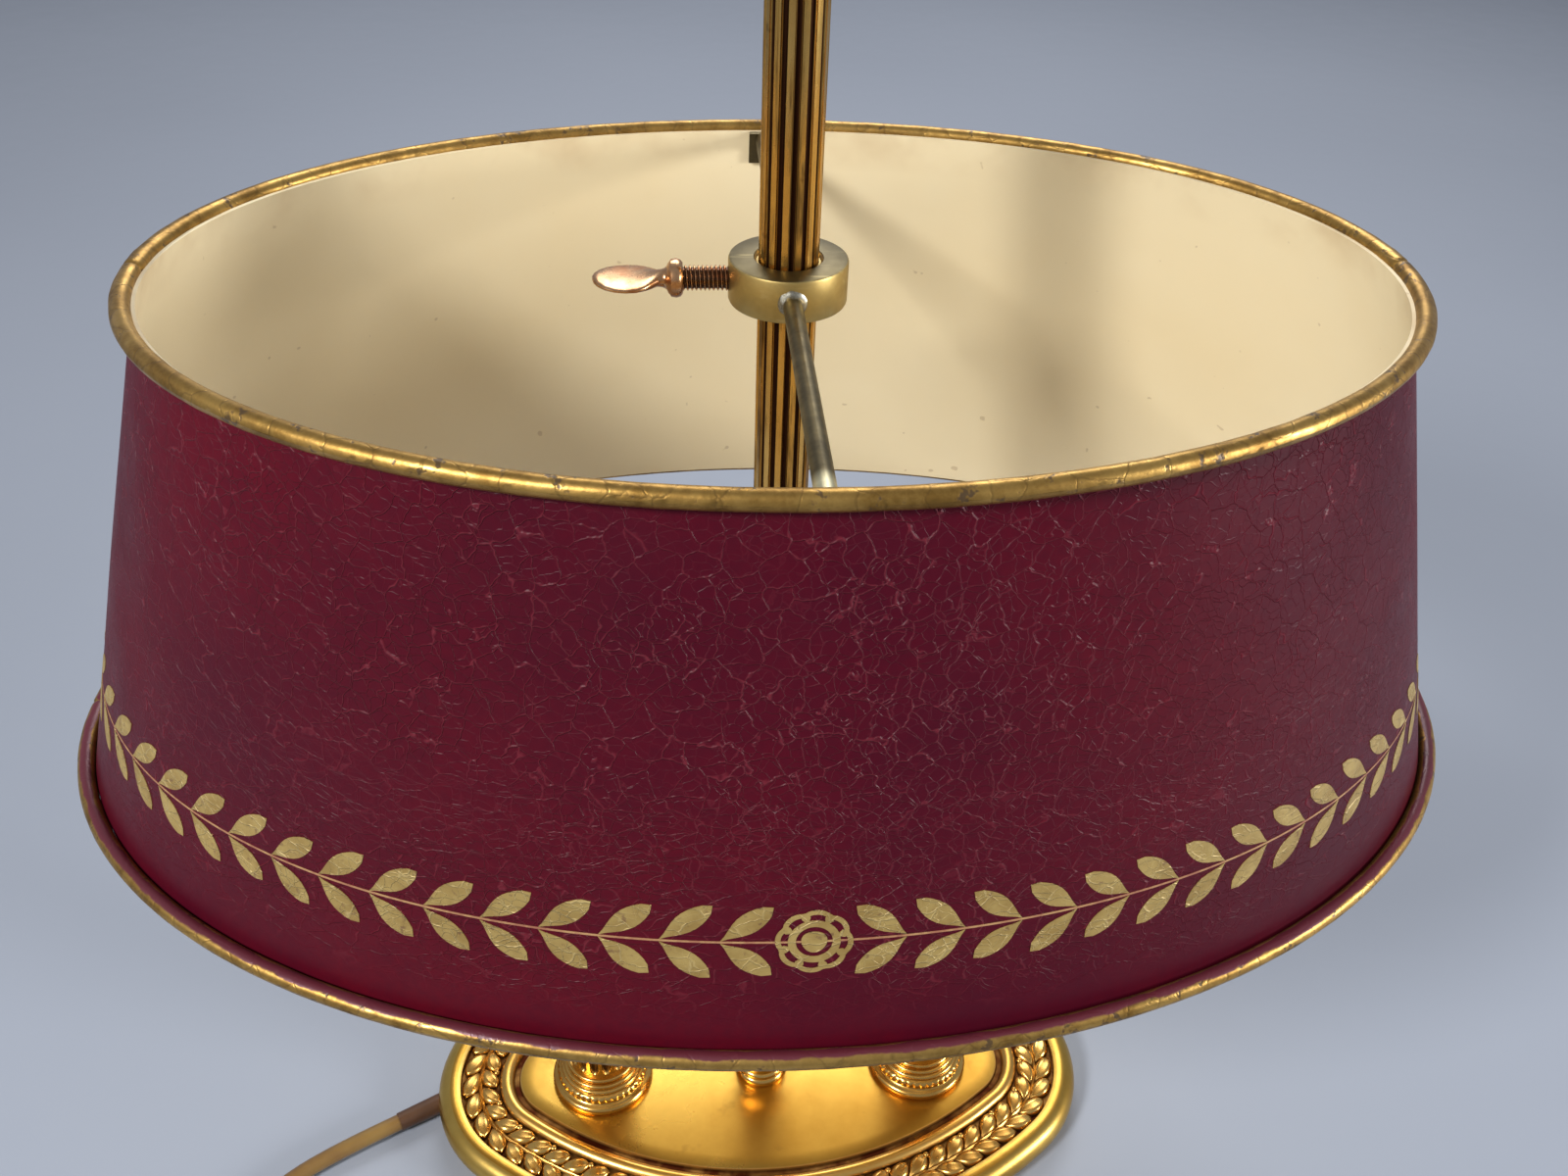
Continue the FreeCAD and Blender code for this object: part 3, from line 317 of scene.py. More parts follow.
class LampColours(bpy.types.PropertyGroup):
    """Colours of the lamp's main finishes."""

    paint: colour_property("Shade Paint", "Main colour of the shade's outside", 70, 7, 25)
    paint_warm: colour_property("Shade Paint Warm", "Redder patches of the shade's outside", 86, 7, 24)
    cream: colour_property("Shade Inside", "Colour of the shade's inside", 241, 225, 186)
    garland: colour_property("Garland", "Dull gold of the painted leaves", 172, 146, 84)
    gilt: colour_property("Gilding", "Polished gold of the stem, columns and base", 224, 178, 98)
    rim: colour_property("Rim Gold", "Worn gold of the shade's two beads", 184, 146, 78)
    brass: colour_property("Plain Brass", "Olive brass of the collar and arms", 190, 166, 106)
    copper: colour_property("Screw Brass", "Rosy brass of the thumb screw", 212, 170, 126)
    cord: colour_property("Cord", "Golden brown of the cord's sheath", 134, 104, 50)
    floor: colour_property("Floor", "Pale blue-grey of the studio floor", 156, 162, 174)


# Fixed tones of the finishes, from display values
# Shade paint, its crackle and the painted highlight along the cracks
PAINT_DARK = linear(58, 9, 25)
# Pale crack colour: the cracks' own colour, and also a painted highlight where their relief catches
# light
CRACKLE_LINE_AND_HIGHLIGHT = linear(124, 46, 56)
# Shade's inside
CREAM_AGED = linear(234, 214, 170)
CREAM_SMOKE = linear(190, 158, 112)
CREAM_SPECK = linear(168, 140, 100)
# Rolled beads
RIM_WORN = linear(128, 96, 44)
RIM_CHIP = linear(58, 42, 26)
RIM_CRACK = linear(84, 62, 34)
RIM_PAINT = linear(96, 36, 46)
# Garland and its line
GARLAND_DULL = linear(148, 120, 62)
GARLAND_WORN = linear(98, 62, 44)
GARLAND_CRACKLE = linear(202, 180, 122)
LINE_GOLD = linear(184, 142, 94)
LINE_WORN = linear(160, 104, 76)
# Gilding and its patina
GILT_CLOUD = linear(176, 122, 48)
GILT_SPOT = linear(110, 70, 30)
STEM_PATINA = linear(44, 24, 14)
SHAFT_PATINA = linear(60, 30, 14)
CHANNEL_PATINA = linear(70, 30, 14)
LAUREL_PATINA = linear(74, 36, 16)
SATIN_GILT = linear(206, 172, 92)
SATIN_CLOUD = linear(166, 128, 56)
BASE_GILT = linear(206, 164, 76)
BASE_CLOUD = linear(172, 128, 50)
BASE_SPOT = linear(126, 84, 34)
# Brass, solder and screw
BRASS_CLOUD = linear(152, 128, 74)
BRASS_TARNISH = linear(58, 56, 44)
BRASS_SCRATCH = linear(196, 176, 124)
ARM_BRASS = linear(104, 92, 62)
ARM_DARK = linear(70, 62, 44)
ARM_BRIGHT = linear(214, 206, 170)
SOLDER_BRIGHT = linear(188, 184, 170)
SOLDER_DULL = linear(112, 106, 88)
SCREW_CLOUD = linear(168, 112, 70)
THREAD_DIRT = linear(60, 34, 22)
SCREW_PIT = linear(96, 58, 36)
# Cord, felt and card
CORD_WORN = linear(112, 80, 38)
FELT_DARK = linear(38, 64, 46)
FELT_PALE = linear(66, 96, 70)
CARD_PALE = linear(236, 226, 200)
CARD_DRIP = linear(220, 202, 162)
# Studio
FLOOR_CLOUD = linear(148, 154, 166)
DIM_LIGHT = linear(190, 196, 208)
ROOM_COLOUR = linear(158, 164, 176)


def sizes():
    return bpy.context.scene.lamp_sizes


def colours():
    return bpy.context.scene.lamp_colours


# Materials


class Graph:
    """One material's nodes, built round its shader."""

    def __init__(self, name, **values):
        self.material = bpy.data.materials.new(name)
        self.material.use_nodes = True
        self.tree = self.material.node_tree
        self.shader = self.tree.nodes["Principled BSDF"]
        self.place = self.add("ShaderNodeTexCoord").outputs["Object"]
        for key, value in values.items():
            self.shader.inputs[key.replace("_", " ")].default_value = value

    def add(self, kind, inputs=(), **settings):
        node = self.tree.nodes.new(kind)
        for key, value in settings.items():
            setattr(node, key, value)
        for key, value in dict(inputs).items():
            self.feed(node.inputs[key], value)
        return node

    def feed(self, socket, value):
        if isinstance(value, bpy.types.NodeSocket):
            self.tree.links.new(value, socket)
        else:
            socket.default_value = value

    def set(self, name, value):
        self.feed(self.shader.inputs[name], value)

    def maths(self, operation, *values):
        node = self.add("ShaderNodeMath", dict(enumerate(values)), operation=operation)
        return node.outputs[0]

    def times(self, first, second):
        return self.maths("MULTIPLY", first, second)

    def distance(self, across, along):
        """The length of a line that runs this far across and along."""
        squares = self.maths("ADD", self.times(across, across), self.times(along, along))
        return self.maths("SQRT", squares)

    def axis(self, name):
        return self.add("ShaderNodeSeparateXYZ", {0: self.place}).outputs[name]

    def ranged(self, value, low, high, to_low=0.0, to_high=1.0):
        inputs = {0: value, 1: low, 2: high, 3: to_low, 4: to_high}
        return self.add("ShaderNodeMapRange", inputs).outputs[0]

    def noise(self, scale, detail=3.0, place=None, roughness=0.55):
        place = place or self.place
        inputs = {"Vector": place, "Scale": scale, "Detail": detail, "Roughness": roughness}
        return self.add("ShaderNodeTexNoise", inputs).outputs[0]

    def scaled(self, x, y, z, place=None):
        node = self.add("ShaderNodeMapping", {0: place or self.place})
        node.inputs["Scale"].default_value = (x, y, z)
        return node.outputs[0]

    def mix(self, share, first, second):
        node = self.add("ShaderNodeMix", data_type="RGBA")
        for index, value in ((0, share), (6, first), (7, second)):
            self.feed(node.inputs[index], value)
        return node.outputs[2]

    def bump(self, height, distance, strength=1.0, under=None):
        inputs = {"Height": height, "Distance": distance, "Strength": strength}
        if under is not None:
            inputs["Normal"] = under
        return self.add("ShaderNodeBump", inputs).outputs[0]

    def rough(self, value, low, high):
        """Roughness that runs from low to high with a noise."""
        self.set("Roughness", self.ranged(value, 0.3, 0.7, low, high))

    def grain(self, scale, detail, distance, strength):
        """The surface's own fine grain."""
        self.set("Normal", self.bump(self.noise(scale, detail), distance, strength))

    def vector(self, operation, inputs):
        return self.add("ShaderNodeVectorMath", inputs, operation=operation).outputs[0]

    def shaken(self, scale, distance):
        """The object's coordinates, pushed about by noise so that straight lines waver."""
        cloud = self.add("ShaderNodeTexNoise", {"Vector": self.place, "Scale": scale, "Detail": 2.0})
        offset = self.vector("SUBTRACT", {0: cloud.outputs[1], 1: (0.5, 0.5, 0.5)})
        grown = self.vector("SCALE", {0: offset, "Scale": distance})
        return self.vector("ADD", {0: self.place, 1: grown})

    def edges(self, place, scale, width):
        """Thin lines along the borders of irregular cells: 1 on the line and 0 inside the cell."""
        inputs = {"Vector": place, "Scale": scale}
        cells = self.add("ShaderNodeTexVoronoi", inputs, feature="DISTANCE_TO_EDGE")
        return self.ranged(cells.outputs["Distance"], 0.0, width, 1.0, 0.0)


def crackle(g):
    """The paint's wrinkle lines: upright cells above, flatter ones low down, none at the border."""
    scale = 1.0 / sizes().crackle_cell
    place = g.shaken(180.0, CRACKLE_WAVER)
    upper = g.edges(g.scaled(1.0, 1.0, 1.05, place), scale, 0.03)
    lower = g.edges(g.scaled(0.75, 0.75, 1.8, place), scale, 0.035)
    height = g.axis("Z")
    coarse = g.mix(g.ranged(height, CRACKLE_FLAT_Z, CRACKLE_UPRIGHT_Z), lower, upper)
    fine = g.edges(g.scaled(1.0, 1.0, 1.2, place), 2.1 * scale, 0.04)
    patches = g.ranged(g.noise(34.0, 2.0), 0.42, 0.6, 0.2, 0.9)
    lines = g.maths("MAXIMUM", coarse, g.times(fine, patches))
    worn = g.ranged(g.noise(26.0, 2.0), 0.36, 0.52, 0.6, 1.0)
    border = g.ranged(height, CRACKLE_BARE_Z, CRACKLE_FULL_Z)
    return g.times(g.times(lines, worn), border)


def shade_paint():
    g = Graph("shade_paint", Specular_IOR_Level=0.12)
    lines = crackle(g)
    base = g.mix(g.ranged(g.noise(9.0, 3.0), 0.38, 0.66), colours().paint, colours().paint_warm)
    base = g.mix(g.ranged(g.noise(420.0, 2.0), 0.35, 0.75, 0.0, 0.35), base, PAINT_DARK)
    # Crack lines are mixed towards a pale colour: the cracks' own colour plus a painted highlight along
    # them
    g.set("Base Color", g.mix(g.times(lines, 0.55), base, CRACKLE_LINE_AND_HIGHLIGHT))
    g.rough(g.noise(60.0, 3.0), 0.36, 0.48)
    grain = g.bump(g.noise(900.0, 2.0), 0.05 * MM, 0.5)
    g.set("Normal", g.bump(lines, 0.3 * MM, 0.9, grain))
    return g.material


def shade_cream():
    g = Graph("shade_cream")
    cloud = g.ranged(g.noise(7.0, 4.0), 0.35, 0.7)
    base = g.mix(cloud, colours().cream, CREAM_AGED)
    top = g.ranged(g.axis("Z"), SMOKE_LOW_Z, SMOKE_TOP_Z)
    smoke = g.times(top, g.ranged(g.noise(45.0, 3.0), 0.45, 0.7, 0.0, 0.5))
    base = g.mix(smoke, base, CREAM_SMOKE)
    specks = g.ranged(g.noise(260.0, 1.0), 0.77, 0.8, 0.0, 0.4)
    g.set("Base Color", g.mix(specks, base, CREAM_SPECK))
    g.rough(g.noise(90.0, 2.0), 0.5, 0.62)
    g.grain(300.0, 3.0, 0.05 * MM, 0.6)
    return g.material


def rim_gold(painted=False):
    """Worn gold on a rolled bead; the lower bead's upper half still has the shade's paint."""
    g = Graph("rim_gold_lower" if painted else "rim_gold_upper")
    wear = g.noise(85.0, 5.0, roughness=0.7)
    base = g.mix(g.ranged(wear, 0.38, 0.62), RIM_WORN, colours().rim)
    chips = g.ranged(g.noise(210.0, 3.0, roughness=0.7), 0.60, 0.66)
    base = g.mix(g.times(chips, 0.85), base, RIM_CHIP)
    cracks = g.edges(g.shaken(300.0, 2.0 * MM), 105.0, 0.035)
    base = g.mix(g.times(cracks, 0.35), base, RIM_CRACK)
    metal = g.ranged(chips, 0.0, 1.0, 0.9, 0.35)
    if painted:
        waver = g.times(g.maths("SUBTRACT", g.noise(120.0, 4.0), 0.5), BEAD_PAINT_WAVER)
        paint = g.ranged(g.maths("ADD", g.axis("Z"), waver), BEAD_GOLD_Z, BEAD_PAINT_Z)
        base = g.mix(paint, base, RIM_PAINT)
        metal = g.times(metal, g.ranged(paint, 0.0, 1.0, 1.0, 0.15))
    g.set("Base Color", base)
    g.set("Metallic", metal)
    g.rough(wear, 0.5, 0.3)
    sunk = g.times(g.maths("ADD", cracks, chips), 0.25)
    relief = g.maths("SUBTRACT", g.noise(260.0, 4.0), sunk)
    g.set("Normal", g.bump(relief, 0.16 * MM, 0.8))
    return g.material


def garland_gold():
    """Dull gold paint that shows the crackle under it."""
    g = Graph("garland_gold", Metallic=0.25)
    lines = crackle(g)
    base = g.mix(g.ranged(g.noise(150.0, 4.0), 0.35, 0.65), colours().garland, GARLAND_DULL)
    worn = g.ranged(g.noise(420.0, 3.0), 0.62, 0.7, 0.0, 0.6)
    base = g.mix(worn, base, GARLAND_WORN)
    g.set("Base Color", g.mix(g.times(lines, 0.55), base, GARLAND_CRACKLE))
    g.rough(g.noise(500.0, 2.0), 0.42, 0.6)
    height = g.maths("ADD", lines, g.times(g.noise(700.0, 3.0), 0.3))
    g.set("Normal", g.bump(height, 0.25 * MM, 0.9))
    return g.material


def garland_line():
    """Thin rosy gold, worn towards the paint under it."""
    g = Graph("garland_line", Metallic=0.15)
    wear = g.ranged(g.noise(300.0, 3.0), 0.4, 0.6)
    g.set("Base Color", g.mix(wear, LINE_GOLD, LINE_WORN))
    g.rough(g.noise(200.0, 2.0), 0.45, 0.6)
    return g.material


def gilt(name, roughness, recess=None, recess_colour=None):
    """Gilded brass with clouds of darker patina; recess is 1 where the metal lies deep and dark."""
    g = Graph(name, Metallic=1.0)
    cloud = g.noise(38.0, 4.0, roughness=0.65)
    base = g.mix(g.ranged(cloud, 0.42, 0.72, 0.0, 0.75), colours().gilt, GILT_CLOUD)
    spots = g.ranged(g.noise(190.0, 3.0), 0.66, 0.74, 0.0, 0.5)
    base = g.mix(spots, base, GILT_SPOT)
    rough = g.ranged(cloud, 0.3, 0.75, roughness, roughness + 0.14)
    if recess is not None:
        dark = recess(g)
        base = g.mix(dark, base, recess_colour)
        rough = g.maths("ADD", rough, g.times(dark, 0.25))
    g.set("Base Color", base)
    g.set("Roughness", rough)
    g.grain(620.0, 3.0, 0.03 * MM, 0.4)
    return g.material


def radius_from(g, x=0.0):
    """Distance from an upright axis; with x, from the nearer of the two axes at x on each side."""
    across = g.maths("SUBTRACT", g.maths("ABSOLUTE", g.axis("X")), x) if x else g.axis("X")
    return g.distance(across, g.axis("Y"))


def stem_gilt():
    """Dark narrow grooves between worn gold lands."""

    def recess(g):
        radius = radius_from(g)
        groove = g.ranged(radius, STEM_LAND, STEM_GROOVE)
        streak = g.noise(40.0, 4.0, g.scaled(14.0, 14.0, 1.0))
        wear = g.times(g.ranged(streak, 0.52, 0.66), 0.75)
        return g.maths("MAXIMUM", groove, wear)

    return gilt("stem_gilt", 0.2, recess, STEM_PATINA)


def shaft_gilt():
    """Bright lands between flutes that have kept their brown patina."""

    def recess(g):
        radius = radius_from(g, COLUMN_X)
        return g.times(g.ranged(radius, SHAFT_LAND, SHAFT_GROOVE), 0.92)

    return gilt("shaft_gilt", 0.16, recess, SHAFT_PATINA)


def turned_gilt():
    return gilt("turned_gilt", 0.12)


def rim_satin_gilt():
    """The base's outer moulding is satin and slightly green."""
    g = Graph("base_rim_gilt", Metallic=1.0)
    cloud = g.noise(30.0, 4.0, roughness=0.6)
    g.set("Base Color", g.mix(g.ranged(cloud, 0.35, 0.7), SATIN_GILT, SATIN_CLOUD))
    g.rough(cloud, 0.26, 0.38)
    g.grain(500.0, 3.0, 0.04 * MM, 0.5)
    return g.material


def channel_gilt():
    """Brown patina lies in the channel under the laurel and in the line round the floor."""

    def recess(g):
        level = g.ranged(g.axis("Z"), PATINA_TOP_Z, CHANNEL_PATINA_Z)
        return g.times(level, g.ranged(g.noise(120.0, 3.0), 0.3, 0.6, 0.7, 1.0))

    return gilt("base_channel_gilt", 0.24, recess, CHANNEL_PATINA)


def floor_gilt():
    g = Graph("base_floor_gilt", Metallic=1.0)
    cloud = g.noise(22.0, 5.0, roughness=0.6)
    base = g.mix(g.ranged(cloud, 0.36, 0.68), BASE_GILT, BASE_CLOUD)
    base = g.mix(g.ranged(g.noise(110.0, 3.0), 0.62, 0.75, 0.0, 0.4), base, BASE_SPOT)
    g.set("Base Color", base)
    g.rough(cloud, 0.24, 0.36)
    g.grain(340.0, 3.0, 0.03 * MM, 0.5)
    return g.material


def laurel_gilt():
    """Cast leaves, polished on top and dark near the channel's floor."""

    def recess(g):
        return g.times(g.ranged(g.axis("Z"), PATINA_TOP_Z, LAUREL_PATINA_Z), 0.9)

    return gilt("laurel_gilt", 0.2, recess, LAUREL_PATINA)


def plain_brass():
    """Olive brass, almost black on the collar's top face."""
    g = Graph("plain_brass", Metallic=1.0)
    cloud = g.noise(70.0, 4.0, roughness=0.6)
    base = g.mix(g.ranged(cloud, 0.35, 0.7), colours().brass, BRASS_CLOUD)
    tarnish = g.ranged(g.axis("Z"), COLLAR_TOP_Z - 0.25 * MM, COLLAR_TOP_Z - 0.05 * MM, 0.0, 0.8)
    base = g.mix(tarnish, base, BRASS_TARNISH)
    scratches = g.ranged(g.noise(60.0, 3.0, g.scaled(1.0, 9.0, 9.0)), 0.6, 0.72, 0.0, 0.4)
    g.set("Base Color", g.mix(scratches, base, BRASS_SCRATCH))
    g.rough(cloud, 0.34, 0.5)
    g.grain(520.0, 3.0, 0.04 * MM, 0.6)
    return g.material


def arm_brass():
    """Dark drawn rod whose front end is painted pale."""
    g = Graph("arm_brass", Metallic=0.9)
    cloud = g.noise(120.0, 4.0, roughness=0.65)
    base = g.mix(g.ranged(cloud, 0.35, 0.7), ARM_BRASS, ARM_DARK)
    # The last few millimetres of the front arm are mixed towards a pale colour
    bright = g.ranged(g.axis("Y"), ARM_DARK_Y, ARM_BRIGHT_Y)
    base = g.mix(g.times(bright, 0.85), base, ARM_BRIGHT)
    g.set("Base Color", base)
    g.rough(cloud, 0.36, 0.55)
    g.grain(600.0, 3.0, 0.05 * MM, 0.6)
    return g.material


def solder():
    g = Graph("solder", Metallic=0.95)
    cloud = g.noise(500.0, 4.0, roughness=0.65)
    g.set("Base Color", g.mix(g.ranged(cloud, 0.4, 0.65), SOLDER_BRIGHT, SOLDER_DULL))
    g.rough(cloud, 0.28, 0.5)
    g.set("Normal", g.bump(cloud, 0.25 * MM, 0.9))
    return g.material


def screw_brass():
    """Rosy polished brass with dark dirt at the bottom of the thread."""
    g = Graph("screw_brass", Metallic=1.0)
    cloud = g.noise(160.0, 4.0, roughness=0.65)
    base = g.mix(g.ranged(cloud, 0.36, 0.66), colours().copper, SCREW_CLOUD)
    radius = g.distance(g.maths("SUBTRACT", g.axis("Z"), SCREW_Z), g.axis("Y"))
    deep = g.ranged(radius, THREAD_CREST, THREAD_GROOVE)
    thread = g.ranged(g.axis("X"), -SCREW_THREAD_END - 0.1 * MM, -SCREW_THREAD_END + 0.1 * MM)
    base = g.mix(g.times(g.times(deep, thread), 0.85), base, THREAD_DIRT)
    pits = g.ranged(g.noise(700.0, 2.0), 0.66, 0.72, 0.0, 0.7)
    g.set("Base Color", g.mix(pits, base, SCREW_PIT))
    g.rough(cloud, 0.2, 0.34)
    g.grain(420.0, 3.0, 0.06 * MM, 0.5)
    return g.material


def cord_sheath():
    g = Graph("cord_sheath", Coat_Weight=0.25, Coat_Roughness=0.25)
    cloud = g.noise(55.0, 3.0)
    g.set("Base Color", g.mix(g.ranged(cloud, 0.35, 0.7), colours().cord, CORD_WORN))
    g.rough(g.noise(240.0, 3.0), 0.32, 0.44)
    g.grain(480.0, 3.0, 0.06 * MM, 0.5)
    return g.material


def moulded(name, colour, darker, roughness=0.36):
    """A moulded plastic with a fine grain and rubbed patches."""
    g = Graph(name)
    g.set("Base Color", g.mix(g.ranged(g.noise(70.0, 4.0), 0.4, 0.7), linear(*colour), linear(*darker)))
    g.rough(g.noise(130.0, 3.0), roughness, roughness + 0.12)
    g.grain(1500.0, 2.0, 0.05 * MM, 0.7)
    return g.material


def worn_metal(name, colour, darker, roughness, grain=0.05):
    """Bare metal that has dulled in clouds."""
    g = Graph(name, Metallic=1.0)
    cloud = g.noise(120.0, 5.0, roughness=0.65)
    g.set("Base Color", g.mix(g.ranged(cloud, 0.36, 0.68), linear(*colour), linear(*darker)))
    g.rough(cloud, roughness, roughness + 0.2)
    g.grain(800.0, 4.0, grain * MM, 0.7)
    return g.material


def felt():
    g = Graph("felt", Roughness=0.95, Sheen_Weight=0.4)
    fibres = g.noise(900.0, 5.0, g.shaken(300.0, 1.5 * MM), 0.7)
    g.set("Base Color", g.mix(g.ranged(fibres, 0.35, 0.7), FELT_DARK, FELT_PALE))
    g.set("Normal", g.bump(fibres, 0.3 * MM, 0.9))
    return g.material


def ivory_card():
    g = Graph("ivory_card")
    drips = g.noise(90.0, 3.0, g.scaled(1.0, 1.0, 0.25))
    g.set("Base Color", g.mix(g.ranged(drips, 0.4, 0.7), CARD_PALE, CARD_DRIP))
    g.rough(drips, 0.48, 0.62)
    g.set("Normal", g.bump(drips, 0.25 * MM, 0.6))
    return g.material


def studio_floor():
    g = Graph("studio_floor")
    cloud = g.noise(1.1, 2.0)
    g.set("Base Color", g.mix(g.ranged(cloud, 0.3, 0.7), colours().floor, FLOOR_CLOUD))
    g.rough(g.noise(30.0, 2.0), 0.55, 0.65)
    return g.material


FINISHES = {
    "shade_paint": shade_paint,
    "shade_cream": shade_cream,
    "rim_upper": rim_gold,
    "rim_lower": lambda: rim_gold(True),
    "garland_gold": garland_gold,
    "garland_line": garland_line,
    "stem_gilt": stem_gilt,
    "shaft_gilt": shaft_gilt,
    "turned_gilt": turned_gilt,
    "base_rim": rim_satin_gilt,
    "base_channel": channel_gilt,
    "base_floor": floor_gilt,
    "laurel": laurel_gilt,
    "plain_brass": plain_brass,
    "arm_brass": arm_brass,
    "solder": solder,
    "screw_brass": screw_brass,
    "cord": cord_sheath,
    "brown_plastic": lambda: moulded("brown_plastic", (82, 52, 28), (66, 40, 20)),
    "black_resin": lambda: moulded("black_resin", (34, 32, 31), (24, 22, 22), 0.42),
    "wire_sheath": lambda: moulded("wire_sheath", (150, 116, 62), (128, 96, 48), 0.4),
    "cast_iron": lambda: worn_metal("cast_iron", (86, 82, 78), (58, 52, 48), 0.5, 0.2),
    "steel": lambda: worn_metal("steel", (176, 176, 172), (132, 130, 126), 0.28),
    "pin_plate": lambda: worn_metal("pin_plate", (206, 202, 190), (174, 168, 152), 0.18),
    "felt": felt,
    "ivory_card": ivory_card,
    "floor": studio_floor,
}
MADE = {}


def finish(name):
    """The material of a finish, made when it is first asked for."""
    if name not in MADE:
        MADE[name] = FINISHES[name]()
    return MADE[name]


# Mesh helpers


def clamped(value, low=0.0, high=1.0):
    return min(max(value, low), high)


def arc(first, middle, last, count):
    """Points of the circle through three points, without the first one."""
    (ax, ay), (bx, by), (cx, cy) = first, middle, last
    d = 2 * (ax * (by - cy) + bx * (cy - ay) + cx * (ay - by))
    a2 = ax * ax + ay * ay
    b2 = bx * bx + by * by
    c2 = cx * cx + cy * cy
    ux = (a2 * (by - cy) + b2 * (cy - ay) + c2 * (ay - by)) / d
    uy = (a2 * (cx - bx) + b2 * (ax - cx) + c2 * (bx - ax)) / d
    radius = math.hypot(ax - ux, ay - uy)
    start = math.atan2(ay - uy, ax - ux)
    middle_turn = (math.atan2(by - uy, bx - ux) - start) % (2 * math.pi)
    sweep = (math.atan2(cy - uy, cx - ux) - start) % (2 * math.pi)
    if middle_turn > sweep:
        sweep -= 2 * math.pi
    turns = [start + sweep * k / count for k in range(1, count + 1)]
    return [(ux + radius * math.cos(t), uy + radius * math.sin(t)) for t in turns]


def outline(steps, count=8):
    """A section's points in metres, from steps in millimetres.

    A pair of numbers is a corner. A pair of points is an arc through the first to the second.
    """
    points = [steps[0]]
    for step in steps[1:]:
        if isinstance(step[0], tuple):
            points += arc(points[-1], step[0], step[1], count)
        else:
            points.append(step)
    return [(x * MM, y * MM) for x, y in points]


def rings(stations, place, segments, caps=False):
    """A skin of rings, each extruded from the last; place(turn, station) gives a ring's points."""
    bm = bmesh.new()
    turn = bm.verts.layers.float.new("turn")
    for v in bmesh.ops.create_circle(bm, segments=segments, radius=1.0)["verts"]:
        v[turn] = math.atan2(v.co.y, v.co.x)
        v.co = place(v[turn], stations[0])
    edges = bm.edges[:]
    for station in stations[1:]:
        grown = bmesh.ops.extrude_edge_only(bm, edges=edges)["geom"]
        for v in grown:
            if isinstance(v, bmesh.types.BMVert):
                v.co = place(v[turn], station)
        edges = [e for e in grown if isinstance(e, bmesh.types.BMEdge) and e.is_boundary]
    bmesh.ops.remove_doubles(bm, verts=bm.verts, dist=WELD)
    if caps:
        bmesh.ops.holes_fill(bm, edges=[e for e in bm.edges if e.is_boundary], sides=0)
    return bm


def turned(profile, steps=96):
    """A turned piece: a profile of radius and height spun about the upright axis."""
    bm = bmesh.new()
    verts = [bm.verts.new((radius, 0, z)) for radius, z in profile]
    edges = [bm.edges.new(pair) for pair in zip(verts, verts[1:])]
    bmesh.ops.spin(
        bm,
        geom=verts + edges,
        cent=(0, 0, 0),
        axis=(0, 0, 1),
        angle=2 * math.pi,
        steps=steps,
        use_merge=True,
    )
    bmesh.ops.remove_doubles(bm, verts=bm.verts, dist=WELD)
    return bm


def joined(*parts):
    """Several bmeshes as one."""
    whole = bmesh.new()
    for part in parts:
        mesh = bpy.data.meshes.new("part")
        part.to_mesh(mesh)
        part.free()
        whole.from_mesh(mesh)
        bpy.data.meshes.remove(mesh)
    return whole


def piece(bm, name, body, *finishes, slot, replaces=(), sharp=35.0):
    """The finished object of a mesh: smooth, facing outwards, riding on its body."""
    bmesh.ops.recalc_face_normals(bm, faces=bm.faces)
    mesh = bpy.data.meshes.new(name)
    bm.to_mesh(mesh)
    bm.free()
    for key in finishes:
        mesh.materials.append(finish(key))
    mesh.shade_smooth()
    mesh.set_sharp_from_angle(angle=math.radians(sharp))
    made = bpy.data.objects.new(name, mesh)
    bpy.context.scene.collection.objects.link(made)
    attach(made, body)
    if replaces:
        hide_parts(*replaces)
    return made


def coat(key, *nodes):
    """Gives construction nodes their finish."""
    for node in nodes:
        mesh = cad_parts[node].data
        mesh.materials.clear()
        mesh.materials.append(finish(key))


def both(name):
    """The names of a left and right pair of nodes."""
    return [name + "_left", name + "_right"]


# Shade


def wall_point(turn, z, lift=0.0):
    """A point of the slightly dented wall at an ellipse angle and height, lifted outwards."""
    share = (z - WALL_LOW_Z) / (WALL_TOP_Z - WALL_LOW_Z)
    long = WALL_LOW_LONG + share * (WALL_TOP_LONG - WALL_LOW_LONG)
    short = WALL_LOW_SHORT + share * (WALL_TOP_SHORT - WALL_LOW_SHORT)
    c = math.cos(turn)
    s = math.sin(turn)
    slope = (WALL_LOW_LONG - WALL_TOP_LONG) / (WALL_TOP_Z - WALL_LOW_Z)
    out = Vector((c / long, s / short, 0)).normalized()
    out = (out + UP * slope * SLOPE_SHARE).normalized()
    dent = WALL_DENT * noise.noise(Vector((DENTS_ROUND * c, DENTS_ROUND * s, z * DENTS_UP)))
    dent *= math.sin(math.pi * clamped(share))
    return Vector((long * c, short * s, z)) + out * (lift + dent)


def shade_skin():
    """The sheet of the shade: its outer face is painted and its inner face is cream."""
    rise = WALL_TOP_Z - WALL_LOW_Z
    heights = [WALL_LOW_Z + rise * k / WALL_LEVELS for k in range(WALL_LEVELS + 1)]
    stations = [(z, 0.0) for z in heights]
    stations += [(z, -WALL_THICK) for z in reversed(heights)]
    stations.append(stations[0])
    bm = rings(stations, lambda turn, s: wall_point(turn, *s), WALL_STEPS)
    bmesh.ops.recalc_face_normals(bm, faces=bm.faces)
    for face in bm.faces:
        centre = face.calc_center_median()
        outward = face.normal.x * centre.x + face.normal.y * centre.y
        face.material_index = 0 if outward > 0 else 1
    piece(
        bm,
        "shade_sheet",
        "shade",
        "shade_paint",
        "shade_cream",
        slot="shade_paint",
        replaces=("shade_panel_front", "shade_panel_back"),
        sharp=60.0,
    )


